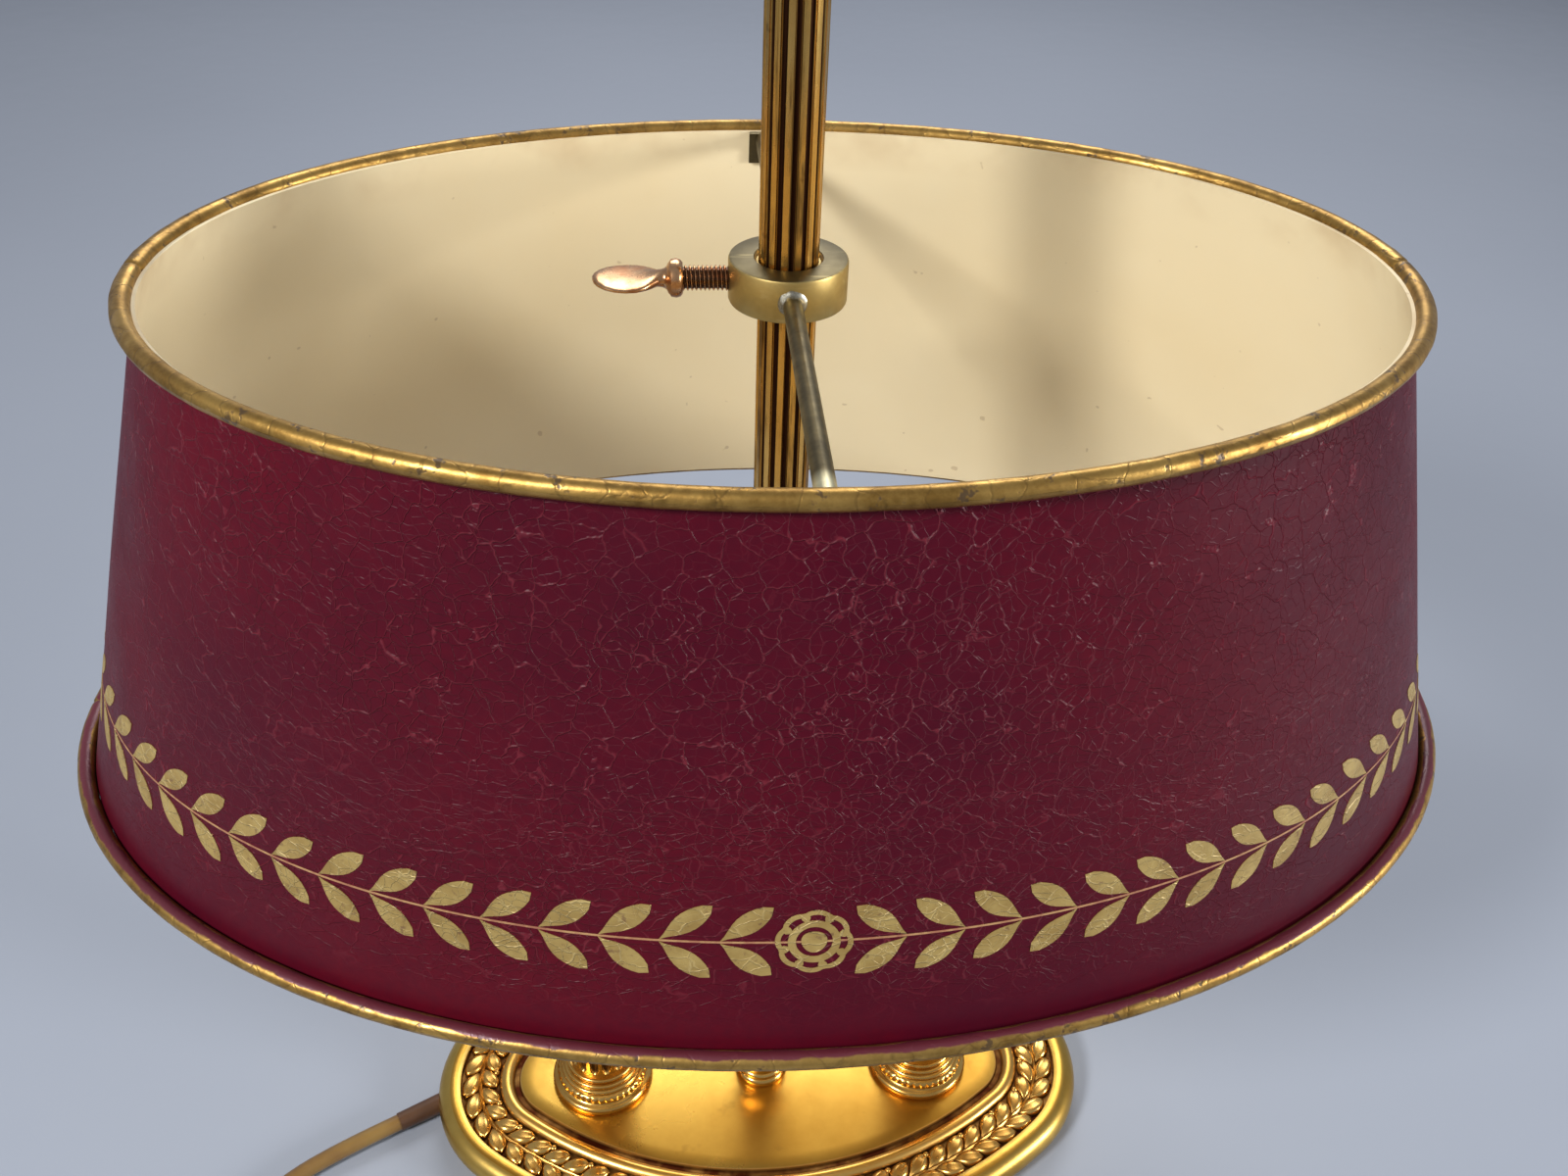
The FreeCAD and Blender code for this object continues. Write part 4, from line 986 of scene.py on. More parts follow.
def rim(name, long, short, z, key):
    """A rolled bead round the shade, with a lapped joint at each end of the long axis."""
    long += BEAD_OFFSET
    short += BEAD_OFFSET

    def place(turn, around):
        c = math.cos(turn)
        s = math.sin(turn)
        out = Vector((c / long, s / short, 0)).normalized()
        from_joint = abs(short * s)
        swell = LAP_SWELL if from_joint < LAP_LENGTH and s > 0 else 0.0
        notch = NOTCH_DEPTH if from_joint < NOTCH_LENGTH else 0.0
        rough = BEAD_ROUGHNESS * noise.noise(Vector((c * 30, s * 20, around)))
        radius = BEAD_RADIUS * (BEAD_FULLNESS + swell - notch + rough)
        centre = Vector((long * c, short * s, z))
        return centre + (out * math.cos(around) + UP * math.sin(around)) * radius

    stations = [2 * math.pi * k / BEAD_STEPS for k in range(BEAD_STEPS + 1)]
    bm = rings(stations, place, RIM_STEPS)
    node = name.removesuffix("_rim")
    piece(bm, name, "shade", key, slot="rim_gold", replaces=(node,))


class WallRuler:
    """Turns a length along the wall, from the front's middle, into an ellipse angle."""

    def __init__(self, z, steps=3600):
        self.turns = [-math.pi / 2 + 2 * math.pi * k / steps for k in range(steps + 1)]
        self.lengths = [0.0]
        last = wall_point(self.turns[0], z)
        for turn in self.turns[1:]:
            point = wall_point(turn, z)
            self.lengths.append(self.lengths[-1] + (point - last).length)
            last = point
        self.total = self.lengths[-1]

    def turn(self, along):
        along %= self.total
        k = min(bisect.bisect_right(self.lengths, along), len(self.lengths) - 1)
        low = self.lengths[k - 1]
        share = (along - low) / (self.lengths[k] - low)
        return self.turns[k - 1] + share * (self.turns[k] - self.turns[k - 1])


def leaf_outline(t):
    """Half width at a share of a leaf's length: pointed at the stalk, widest past the middle."""
    t = clamped(t)
    return math.sin(math.pi * t**1.2) ** (1.15 - 0.6 * t) if 0 < t < 1 else 0.0


def grid_leaf(bm, along, across, start, heading, length, width, columns=9, rows=4):
    """A flat leaf patch; its vertices keep their place along and across the surface in two layers."""
    cos = math.cos(heading)
    sin = math.sin(heading)
    verts = bmesh.ops.create_grid(bm, x_segments=columns, y_segments=rows, size=1.0)["verts"]
    for v in verts:
        t = (v.co.x + 1) / 2
        x = t * length
        y = v.co.y * leaf_outline(t) * width / 2
        v[along] = start[0] + x * cos - y * sin
        v[across] = start[1] + x * sin + y * cos
        v.co = (v[along], v[across], 0)
    return verts


def raised(bm, place, depth, height):
    """Thickens flat patches on a surface, where place(along, across, lift) is a point."""
    along = bm.verts.layers.float["along"]
    across = bm.verts.layers.float["across"]
    bmesh.ops.remove_doubles(bm, verts=bm.verts, dist=PATCH_WELD)
    grown = bmesh.ops.extrude_face_region(bm, geom=bm.faces[:])["geom"]
    upper = {v for v in grown if isinstance(v, bmesh.types.BMVert)}
    for v in bm.verts:
        v.co = place(v[along], v[across], height if v in upper else -depth)


def flat_bm():
    """A bmesh for flat patches, with the two layers that keep their place on a surface."""
    bm = bmesh.new()
    along = bm.verts.layers.float.new("along")
    across = bm.verts.layers.float.new("across")
    return bm, along, across


def ribbon(bm, along, across, centre, inner, outer, segments=72):
    """A closed flat band round a centre, between two radii that may vary with the angle."""
    edges = []
    for v in bmesh.ops.create_circle(bm, segments=segments, radius=1.0)["verts"]:
        turn = math.atan2(v.co.y, v.co.x)
        v[along] = turn
        edges += [e for e in v.link_edges if e not in edges]
    grown = bmesh.ops.extrude_edge_only(bm, edges=edges)["geom"]
    outside = {v for v in grown if isinstance(v, bmesh.types.BMVert)}
    inside = {v for e in edges for v in e.verts}
    for v in outside | inside:
        turn = v[along]
        radius = outer(turn) if v in outside else inner(turn)
        v[along] = centre[0] + radius * math.cos(turn)
        v[across] = centre[1] + radius * math.sin(turn)
        v.co = (v[along], v[across], 0)


def rosette(bm, along, across, centre, radius):
    """Eight outlined petals round a ring and a solid middle."""
    pinhole = 0.01 * MM
    edge = 0.14 * radius
    petal_start = 0.6 * radius
    petal_length = 0.34 * radius
    petal_width = 0.24 * radius

    def middle(turn):
        return 0.33 * radius * (1 + 0.04 * math.sin(3 * turn))

    def scallop(turn):
        return radius * (0.9 + 0.1 * abs(math.cos(4 * turn + 0.4)) ** 0.6)

    ribbon(bm, along, across, centre, lambda t: pinhole, middle)
    ribbon(bm, along, across, centre, lambda t: 0.47 * radius, lambda t: 0.67 * radius)
    ribbon(bm, along, across, centre, lambda t: scallop(t) - edge, scallop)
    for k in range(8):
        turn = (k + 0.5) * math.pi / 4 - 0.1
        x = centre[0] + petal_start * math.cos(turn)
        y = centre[1] + petal_start * math.sin(turn)
        grid_leaf(bm, along, across, (x, y), turn, petal_length, petal_width, 4, 2)


def garland():
    """Pairs of painted leaves that point towards a rosette at the front, and the same behind."""
    ruler = WallRuler(GARLAND_Z)
    size = sizes()
    bm, along, across = flat_bm()
    pairs = int((ruler.total / 4 - FIRST_NODE) / size.leaf_spacing) + 1
    for middle in (0.0, ruler.total / 2):
        rosette(bm, along, across, (middle, 0.0), size.rosette_radius)
        for side in (-1, 1):
            for k in range(pairs):
                node = side * (FIRST_NODE + k * size.leaf_spacing)
                for up in (-1, 1):
                    unlike = noise.noise(Vector((node * 300, up * 3.1, middle * 20)))
                    heading = up * (LEAF_SPREAD + LEAF_TURN * unlike)
                    if side > 0:
                        heading = math.pi - heading
                    length = size.leaf_length * (1 + LEAF_STRETCH * unlike)
                    width = size.leaf_width * (1 - LEAF_THINNING * unlike)
                    start = (middle + node, up * STALK_OFFSET)
                    grid_leaf(bm, along, across, start, heading, length, width)

    def place(s, h, lift):
        return wall_point(ruler.turn(s), GARLAND_Z + h * RISE_SHARE, lift)

    raised(bm, place, PAINT_DEPTH, PAINT_LIFT)
    piece(bm, "garland_leaves", "shade", "garland_gold", slot="rim_gold")

    half = LINE_HALF_WIDTH
    stations = [(-half, -PAINT_DEPTH), (-half, LINE_LIFT), (half, LINE_LIFT), (half, -PAINT_DEPTH)]
    stations.append(stations[0])
    line = rings(stations, lambda turn, s: wall_point(turn, GARLAND_Z + s[0], s[1]), RIM_STEPS)
    piece(line, "garland_line", "shade", "garland_line", slot="rim_gold")


# Collar, arms and thumb screw


def collar_ring():
    """The collar with its broken edges."""
    c = COLLAR_CHAMFER
    low = COLLAR_LOW_Z
    top = COLLAR_TOP_Z
    profile = [
        (COLLAR_BORE, low + c),
        (COLLAR_BORE + c, low),
        (COLLAR_RADIUS - c, low),
        (COLLAR_RADIUS - 0.3 * c, low + 0.3 * c),
        (COLLAR_RADIUS, low + c),
        (COLLAR_RADIUS, top - c),
        (COLLAR_RADIUS - 0.3 * c, top - 0.3 * c),
        (COLLAR_RADIUS - c, top),
        (COLLAR_BORE + c, top),
        (COLLAR_BORE, top - c),
        (COLLAR_BORE, low + c),
    ]
    bm = turned(profile)
    piece(bm, "collar_ring", "shade", "plain_brass", slot="plain_brass", replaces=("collar",))


def solder_fillet(name, side, start, reach, flare):
    """A lumpy ring of solder round an arm, flared against what the arm is joined to."""

    lumpiness = 0.16
    sunk_end = 0.98

    def place(turn, share):
        c = math.cos(turn)
        s = math.sin(turn)
        spread = 1 + flare * (1 - share) ** 2
        lump = 1 + lumpiness * noise.noise(Vector((c * 2, s * 2, share * 2 + side)))
        radius = ARM_RADIUS * spread * (lump if 0 < share < 1 else 1.0)
        if share >= 1:
            radius *= sunk_end
        return Vector((radius * c, side * (start + reach * share), ARM_Z + radius * s))

    stations = [k / 6 for k in range(7)]
    bm = rings(stations, place, 32, caps=True)
    piece(bm, name, "shade", "solder", slot="plain_brass")


def screw_thread():
    """A real thread: a vee profile spun along the screw, then cut square at both ends."""
    bm = bmesh.new()
    root = THREAD_RADIUS - THREAD_DEPTH
    start = -(SCREW_TIP - THREAD_PITCH)
    crest = THREAD_RADIUS
    vee = ((0.0, root), (0.12, root), (0.45, crest), (0.58, crest), (0.9, root), (1.0, root))
    places = [(start - share * THREAD_PITCH, 0, SCREW_Z + radius) for share, radius in vee]
    verts = [bm.verts.new(place) for place in places]
    edges = [bm.edges.new(pair) for pair in zip(verts, verts[1:])]
    turns = round((SCREW_THREAD_END - SCREW_TIP) / THREAD_PITCH) + 2
    bmesh.ops.spin(
        bm,
        geom=verts + edges,
        cent=(0, 0, SCREW_Z),
        axis=(-1, 0, 0),
        dvec=(-THREAD_PITCH / THREAD_STEPS, 0, 0),
        angle=2 * math.pi * turns,
        steps=THREAD_STEPS * turns,
    )
    bmesh.ops.remove_doubles(bm, verts=bm.verts, dist=0.01 * MM)
    for x, facing in ((-SCREW_TIP, 1), (-SCREW_THREAD_END - THREAD_OVERLAP, -1)):
        bmesh.ops.bisect_plane(
            bm,
            geom=bm.verts[:] + bm.edges[:] + bm.faces[:],
            plane_co=(x, 0, 0),
            plane_no=(facing, 0, 0),
            clear_outer=True,
        )
        bmesh.ops.holes_fill(bm, edges=[e for e in bm.edges if e.is_boundary], sides=0)
    return bm


def screw_head():
    """Bead, waist and thumb pad, forged flat from the round.

    Each station gives the distance along the screw, half the width and half the height, in
    millimetres.
    """
    thick = 0.8
    stations = [
        (24.4, 2.2, 2.2),
        (24.5, 3.6, 3.6),
        (25.0, 4.2, 4.2),
        (26.0, 4.5, 4.5),
        (27.2, 4.3, 4.3),
        (27.9, 3.4, 3.4),
        (28.2, 2.7, 2.7),
        (28.7, 2.35, 2.3),
        (29.4, 2.4, 2.0),
        (30.4, 3.0, 1.7),
        (31.6, 4.5, 1.35),
        (33.2, 6.0, 1.1),
        (35.2, 7.05, 0.95),
        (37.6, 7.35, thick),
        (40.0, 7.0, thick),
        (42.2, 5.9, thick),
        (43.9, 4.2, thick),
        (44.9, 2.4, 0.7),
        (45.3, 0.8, 0.45),
        (45.4, 0.0, 0.0),
    ]

    def place(turn, station):
        along, wide, tall = station
        c = math.cos(turn)
        s = math.sin(turn)
        squared = PAD_SQUARENESS if along > PAD_SQUARE_START else 1.0
        y = wide * c
        z = tall * math.copysign(abs(s) ** squared, s)
        over = max(along - PAD_START, 0.0)
        sag = PAD_SAG * math.sin(over / PAD_LENGTH * math.pi)
        return Vector((-along * MM, y * MM, SCREW_Z + (z - sag) * MM))

    return rings(stations, place, 48, caps=True)


def thumb_screw():
    piece(
        joined(screw_thread(), screw_head()),
        "thumb_screw_turned",
        "thumb_screw",
        "screw_brass",
        slot="screw_brass",
        replaces=("thumb_screw",),
    )


# Stem and columns


def stem_foot_ring():
    """The turned ferrule at the stem's foot, from its radius and height in millimetres."""
    steps = [
        (7.1, 11.0),
        (8.4, 11.0),
        ((9.2, 12.5), (8.4, 14.0)),
        (8.0, 14.2),
        (8.0, 14.5),
        ((8.9, 15.9), (8.0, 17.2)),
        (7.9, 17.5),
        ((7.6, 21.0), (8.0, 24.6)),
        (8.1, 24.8),
        (8.1, 25.4),
        ((9.1, 27.3), (8.0, 29.0)),
        (7.1, 29.0),
        (7.1, 11.0),
    ]
    piece(
        turned(outline(steps, 10)),
        "stem_foot_turned",
        "lamp",
        "turned_gilt",
        slot="gilt_brass",
        replaces=("stem_foot",),
    )


def column_foot(side, x):
    """A low outer ring, a reeded ring and two thin rings, from radius and height in millimetres."""
    steps = [
        (5.2, 11.0),
        (16.3, 11.0),
        ((17.7, 12.7), (16.3, 14.4)),
        (15.5, 14.7),
        (15.3, 14.9),
        ((16.0, 16.6), (14.9, 18.2)),
        (14.1, 18.5),
        ((14.6, 19.4), (13.8, 20.3)),
        (13.1, 20.5),
        ((13.6, 21.3), (12.7, 22.1)),
        (11.7, 22.3),
        ((12.5, 23.2), (11.5, 24.0)),
        (5.2, 24.0),
        (5.2, 11.0),
    ]

    def place(turn, station):
        radius, z = station
        band = (z - REED_LOW_Z) / REED_HEIGHT
        if 0 < band < 1 and radius > REED_INNER:
            groove = (1 - abs(math.cos(FOOT_REEDS * turn / 2))) ** 1.5
            radius -= REED_DEPTH * math.sin(math.pi * band) * groove
        return Vector((x + radius * math.cos(turn), radius * math.sin(turn), z))

    bm = rings(outline(steps), place, FOOT_REEDS * 8)
    node = "column_foot_" + side
    piece(bm, node + "_turned", "lamp", "turned_gilt", slot="gilt_brass", replaces=(node,))


def column_shaft(side, x):
    """A shaft whose round-bottomed flutes end in half rounds above the foot and below the capital."""
    node = "column_shaft_" + side
    low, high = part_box(node)
    pitch = 2 * math.pi / SHAFT_FLUTES
    widest = FLUTE_OPENING * FLUTE_RADIUS / SHAFT_RADIUS

    def place(turn, z):
        near = min(z - low.z, high.z - z) - FLUTE_MARGIN
        share = clamped(near / FLUTE_END)
        opening = math.sqrt(1 - (1 - share) ** 2)
        off = ((turn / pitch) % 1.0 - 0.5) * pitch
        radius = SHAFT_RADIUS
        if opening > 0 and abs(off) < widest * opening:
            inner = off / opening
            chord = FLUTE_CENTRE * math.sin(inner)
            deep = FLUTE_CENTRE * math.cos(inner) - math.sqrt(max(FLUTE_RADIUS**2 - chord**2, 0.0))
            radius -= opening * max(SHAFT_RADIUS - deep, 0.0)
        return Vector((x + radius * math.cos(turn), radius * math.sin(turn), z))

    ends = [0.0] + [FLUTE_MARGIN + FLUTE_END * k / 10 for k in range(11)]
    middle = [low.z + (high.z - low.z) * k / 12 for k in range(1, 12)]
    stations = [low.z + d for d in ends] + middle + [high.z - d for d in reversed(ends)]
    piece(
        rings(stations, place, SHAFT_FLUTES * 20, caps=True),
        node + "_fluted",
        "lamp",
        "shaft_gilt",
        slot="gilt_brass",
        replaces=(node,),
        sharp=50.0,
    )


# Base


def oval_arcs():
    """The four arcs of the base's outline: centre, radius, start angle and sweep, from the +X end."""
    side = OVAL_LONG**2 + OVAL_SHORT**2 - 2 * OVAL_LONG * OVAL_END_RADIUS
    side /= 2 * (OVAL_SHORT - OVAL_END_RADIUS)
    end_x = OVAL_LONG - OVAL_END_RADIUS
    side_y = side - OVAL_SHORT
    meet = math.atan2(side_y, end_x)
    return [
        (Vector((end_x, 0, 0)), OVAL_END_RADIUS, -meet, 2 * meet),
        (Vector((0, -side_y, 0)), side, meet, math.pi - 2 * meet),
        (Vector((-end_x, 0, 0)), OVAL_END_RADIUS, math.pi - meet, 2 * meet),
        (Vector((0, side_y, 0)), side, math.pi + meet, math.pi - 2 * meet),
    ]


ARCS = oval_arcs()


def oval_length(depth):
    """Length round the base at a depth inside its outline."""
    return sum((radius - depth) * sweep for _, radius, _, sweep in ARCS)


def on_oval(along, depth, z, ruled_at):
    """A point on the base: along is a length measured where the depth is ruled_at."""
    along %= oval_length(ruled_at)
    for centre, radius, start, sweep in ARCS:
        length = (radius - ruled_at) * sweep
        if along <= length or centre is ARCS[-1][0]:
            turn = start + sweep * along / length
            return centre + Vector((math.cos(turn), math.sin(turn), 0)) * (radius - depth) + UP * z
        along -= length
    raise ValueError("a length lies outside the oval")


def base_casting():
    """The base's section, as depth from the edge and height in millimetres, swept round its oval."""
    steps = [
        (29.1, 8.8),
        (21.6, 7.6),
        (6.2, 7.6),
        (6.2, 0.8),
        (3.0, 0.8),
        (2.6, 1.1),
        (2.6, 2.3),
        ((1.64, 10.96), (8.0, 12.05)),
        (8.2, 9.6),
        (21.4, 9.6),
        (21.6, 9.9),
        ((24.25, 12.2), (26.8, 10.2)),
        (27.1, 10.0),
        (28.6, 10.0),
        (29.0, 10.9),
        (29.4, 11.0),
        (34.0, 11.0),
    ]
    total = oval_length(0.0)

    def place(turn, station):
        depth, z = station
        return on_oval((turn / (2 * math.pi) + 0.5) * total, depth, z, 0.0)

    bm = rings(outline(steps, 14), place, OVAL_STEPS, caps=True)
    for face in bm.faces:
        centre = face.calc_center_median()
        level = centre.z > FLOOR_Z - 0.05 * MM and abs(face.normal.z) > 0.99
        if level or len(face.verts) > 4:
            face.material_index = 2
        elif depth_of(centre) > CHANNEL_START - 0.15 * MM:
            face.material_index = 1
    piece(
        bm,
        "base_casting",
        "lamp",
        "base_rim",
        "base_channel",
        "base_floor",
        slot="gilt_brass",
        replaces=("base_shell",),
        sharp=40.0,
    )


def depth_of(point):
    """How far a point lies inside the base's outline."""
    end, side = ARCS[0], ARCS[1]
    x = abs(point.x)
    y = abs(point.y)
    at_end = math.atan2(y, x - end[0].x)
    if at_end < end[3] / 2 and x > end[0].x:
        return end[1] - math.hypot(x - end[0].x, y)
    return side[1] - math.hypot(x, y + abs(side[0].y))


def laurel():
    """Cast laurel in the base's channel: overlapping pairs of leaves on a cord, with berries."""
    size = sizes()
    total = oval_length(CHANNEL_MIDDLE)
    count = round(total / size.laurel_spacing)
    bm, along, across = flat_bm()
    rise = bm.verts.layers.float.new("rise")
    for k in range(count):
        for side in (-1, 1):
            start = (total * k / count + side * LAUREL_STAGGER, side * LAUREL_STALK)
            unlike = noise.noise(Vector((k * 1.7, side, 0)))
            heading = side * math.radians(LAUREL_SPREAD + LAUREL_UNLIKE * unlike)
            cos = math.cos(heading)
            sin = math.sin(heading)
            leaf = grid_leaf(
                bm, along, across, start, heading, LAUREL_LENGTH, LAUREL_WIDTH, columns=8, rows=6
            )
            for v in leaf:
                x = v[along] - start[0]
                y = v[across] - start[1]
                t = clamped((x * cos + y * sin) / LAUREL_LENGTH, high=0.96)
                aside = y * cos - x * sin
                half = max(leaf_outline(t) * LAUREL_WIDTH / 2, 0.01 * MM)
                bow = math.sqrt(max(1 - (aside / half) ** 2, 0.0)) * math.sin(math.pi * t) ** 0.6
                rib = math.exp(-((aside / RIB_WIDTH) ** 2))
                v[rise] = (0.35 + 1.5 * bow + 0.9 * t - 0.45 * rib) * MM
    bmesh.ops.remove_doubles(bm, verts=bm.verts, dist=PATCH_WELD)
    grown = bmesh.ops.extrude_face_region(bm, geom=bm.faces[:])["geom"]
    upper = {v for v in grown if isinstance(v, bmesh.types.BMVert)}
    for v in bm.verts:
        z = CHANNEL_Z + (v[rise] if v in upper else -LAUREL_ROOT)
        v.co = on_oval(v[along], CHANNEL_MIDDLE - v[across], z, CHANNEL_MIDDLE)
    for k in range(count):
        for side in (-1, 1):
            if k % 2 == (side > 0):
                where = total * (k + BERRY_SHARE) / count
                depth = CHANNEL_MIDDLE + side * BERRY_OFFSET
                berry = on_oval(where, depth, CHANNEL_Z + BERRY_LIFT, CHANNEL_MIDDLE)
                place = Matrix.Translation(berry)
                bmesh.ops.create_icosphere(bm, subdivisions=2, radius=BERRY_RADIUS, matrix=place)
    piece(bm, "laurel_leaves", "lamp", "laurel", slot="gilt_brass", sharp=50.0)

    half = LAUREL_CORD
    stations = [(-half, 0.0), (-0.6 * half, 0.8), (0.0, 1.2), (0.6 * half, 0.8), (half, 0.0)]
    stations = [(d, CHANNEL_Z + z * MM) for d, z in stations]
    stations += [(half, CHANNEL_Z - LAUREL_ROOT), (-half, CHANNEL_Z - LAUREL_ROOT), stations[0]]
    total_outer = oval_length(0.0)

    def place_cord(turn, station):
        depth, z = station
        return on_oval((turn / (2 * math.pi) + 0.5) * total_outer, CHANNEL_MIDDLE + depth, z, 0.0)

    bm = rings(stations, place_cord, OVAL_STEPS)
    piece(bm, "laurel_cord", "lamp", "laurel", slot="gilt_brass")


# Cord, switch and plug


def coil_points():
    """Turns that spiral in on the floor, climb a layer where they reverse, and spiral out."""
    steps_in = round(COIL_TURNS_IN * COIL_STEPS)
    inner = COIL_OUTER - COIL_PITCH * COIL_TURNS_IN
    grow = 1 / math.cos(math.pi / COIL_STEPS)
    points = []
    for k in range(2 * steps_in + 1):
        radius = inner + COIL_PITCH * abs(k - steps_in) / COIL_STEPS
        climb = clamped((k - steps_in + COIL_STEPS / 4) / (COIL_STEPS / 2))
        climb = climb * climb * (3 - 2 * climb)
        turn = math.pi / 2 - 2 * math.pi * k / COIL_STEPS
        place = COIL_CENTRE + Vector((math.cos(turn), math.sin(turn), 0)) * radius * grow
        points.append((place.x, place.y, CORD_RADIUS + climb * COIL_RISE))
    return points


def free_cord(name, points, replaces, **facts):
    """A cord through points; the keyword facts passed with it are not used."""
    curve = bpy.data.curves.new(name, "CURVE")
    curve.dimensions = "3D"
    curve.bevel_depth = CORD_RADIUS
    curve.bevel_resolution = 5
    curve.use_fill_caps = True
    spline = curve.splines.new("NURBS")
    spline.points.add(len(points) - 1)
    for point, place in zip(spline.points, points):
        point.co = (*place, 1.0)
    spline.order_u = 3
    spline.use_endpoint_u = True
    spline.resolution_u = 6
    curve.materials.append(finish("cord"))
    cord = bpy.data.objects.new(name, curve)
    bpy.context.scene.collection.objects.link(cord)
    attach(cord, "lamp")
    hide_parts(*replaces)


def rounded(turn, half_x, half_y, squareness):
    """A point of a rounded rectangle: the higher the squareness, the tighter its corners."""
    c = math.cos(turn)
    s = math.sin(turn)
    power = 2 / squareness
    return half_x * math.copysign(abs(c) ** power, c), half_y * math.copysign(abs(s) ** power, s)


def switch_housing():
    """The two moulded halves: a shallow tray, and a domed cover with a window for the rocker."""
    middle = (SWITCH_LOW + SWITCH_HIGH) / 2
    long = (SWITCH_HIGH.x - SWITCH_LOW.x) / 2
    wide = (SWITCH_HIGH.y - SWITCH_LOW.y) / 2

    def place(turn, station):
        inset, z, window = station
        if window:
            x, y = rounded(turn, WINDOW_LONG - inset, WINDOW_WIDE - inset, WINDOW_CORNERS)
        else:
            x, y = rounded(turn, long - inset, wide - inset, HOUSING_CORNERS)
        return Vector((middle.x + x, middle.y + y, z))

    split = SWITCH_SPLIT_Z
    tray = [
        (4.0 * MM, 0.0, False),
        (1.4 * MM, 0.0, False),
        (0.5 * MM, 0.3 * MM, False),
        (0.0, 1.3 * MM, False),
        (0.0, split - 0.5 * MM, False),
        (0.3 * MM, split - HOUSING_GAP, False),
        (HOUSING_WALL, split - HOUSING_GAP, False),
        (HOUSING_WALL, HOUSING_WALL, False),
    ]
    piece(
        rings(tray, place, 128, caps=True),
        "switch_tray",
        "lamp",
        "brown_plastic",
        slot="brown_plastic",
        replaces=("switch_base",),
        sharp=30.0,
    )
    top = SWITCH_TOP_Z
    cover = [
        (HOUSING_WALL, split + HOUSING_GAP, False),
        (0.3 * MM, split + HOUSING_GAP, False),
        (0.0, split + 0.4 * MM, False),
    ]
    for k in range(8):
        a = math.pi / 2 * k / 7
        inset = DOME_RADIUS * (1 - math.cos(a))
        cover.append((inset, top - DOME_RADIUS * (1 - math.sin(a)), False))
    cover += [
        (-1.6 * MM, top, True),
        (-1.2 * MM, top - 0.15 * MM, True),
        (-0.4 * MM, top - 0.7 * MM, True),
        (0.0, top - 1.0 * MM, True),
        (0.0, top - 2.2 * MM, True),
        (5.5 * MM, top - 2.2 * MM, False),
        (HOUSING_WALL, top - 4.0 * MM, False),
        (HOUSING_WALL, split + HOUSING_GAP, False),
    ]
    piece(
        rings(cover, place, 128),
        "switch_cover_moulded",
        "lamp",
        "brown_plastic",
        slot="brown_plastic",
        replaces=("switch_cover",),
        sharp=30.0,
    )


def plug():
    """A moulded plug: a ribbed sleeve at the cord flares into a flattened grip with a flat face.

    Each station gives the distance along the plug, half the width and half the height in
    millimetres, and how square its corners are.
    """
    middle = (PLUG_LOW + PLUG_HIGH) / 2
    tall = (PLUG_HIGH.z - PLUG_LOW.z) / 2 / MM
    wide = (PLUG_HIGH.y - PLUG_LOW.y) / 2 / MM
    stations = [(0.0, 3.2, 3.2, 2.2), (0.4, 4.6, 4.6, 2.2)]
    for k in range(4):
        x = 1.0 + k * 2.0
        rib = 4.9 + 0.25 * k
        groove = rib - 0.7
        stations += [(x, rib, rib, 2.3), (x + 0.9, rib, rib, 2.3)]
        stations += [(x + 1.1, groove, groove, 2.3), (x + 1.8, groove, groove, 2.3)]
    stations += [
        (9.2, 6.0, 5.4, 2.6),
        (11.0, 8.2, 6.0, 3.2),
        (14.0, 11.2, tall - 0.25, 4.2),
        (17.5, wide - 0.5, tall - 0.05, 5.0),
        (21.0, wide - 0.2, tall - 0.15, 5.5),
        (25.0, wide - 0.6, tall - 0.5, 5.5),
        (29.0, wide - 0.1, tall - 0.1, 5.5),
        (32.6, wide, tall, 5.5),
        (33.4, wide - 0.3, tall - 0.3, 5.5),
        (33.9, wide - 1.0, tall - 1.0, 5.5),
        (34.0, wide - 1.6, tall - 1.6, 5.5),
    ]

    def place(turn, station):
        along, half_wide, half_tall, squareness = station
        y, z = rounded(turn, half_wide, half_tall, squareness)
        return Vector((PLUG_LOW.x + along * MM, middle.y + y * MM, middle.z + z * MM))

    return piece(
        rings(stations, place, 96, caps=True),
        "plug_moulded",
        "lamp",
        "brown_plastic",
        slot="brown_plastic",
        replaces=("plug_body",),
        sharp=32.0,
    )


# Operators


class LAMP_OT_stage(bpy.types.Operator):
    """Adds the floor, the studio lights and the camera"""

    bl_idname = "lamp.stage"
    bl_label = "Stage"

    def execute(self, context):
        bm = bmesh.new()
        bmesh.ops.create_circle(bm, cap_ends=True, segments=96, radius=FLOOR_RADIUS)
        mesh = bpy.data.meshes.new("floor")
        bm.to_mesh(mesh)
        bm.free()
        mesh.materials.append(finish("floor"))
        floor = bpy.data.objects.new("floor", mesh)
        context.scene.collection.objects.link(floor)

        for light in LIGHTS:
            soft_light(*light)

        context.scene.world = studio_world()
        context.scene.view_settings.view_transform = "Standard"

        camera = bpy.data.cameras.new("camera")
        camera.sensor_width = 36.0
        camera.lens = CAMERA_LENS
        eye = bpy.data.objects.new("camera", camera)
        context.scene.collection.objects.link(eye)
        turn = Matrix.Rotation(math.radians(CAMERA_TURN), 4, "Z")
        tip = Matrix.Rotation(math.radians(90 - CAMERA_DOWN), 4, "X")
        roll = Matrix.Rotation(math.radians(CAMERA_ROLL), 4, "Z")
        eye.matrix_world = Matrix.Translation(CAMERA_PLACE) @ turn @ tip @ roll
        context.scene.camera = eye
        return {"FINISHED"}


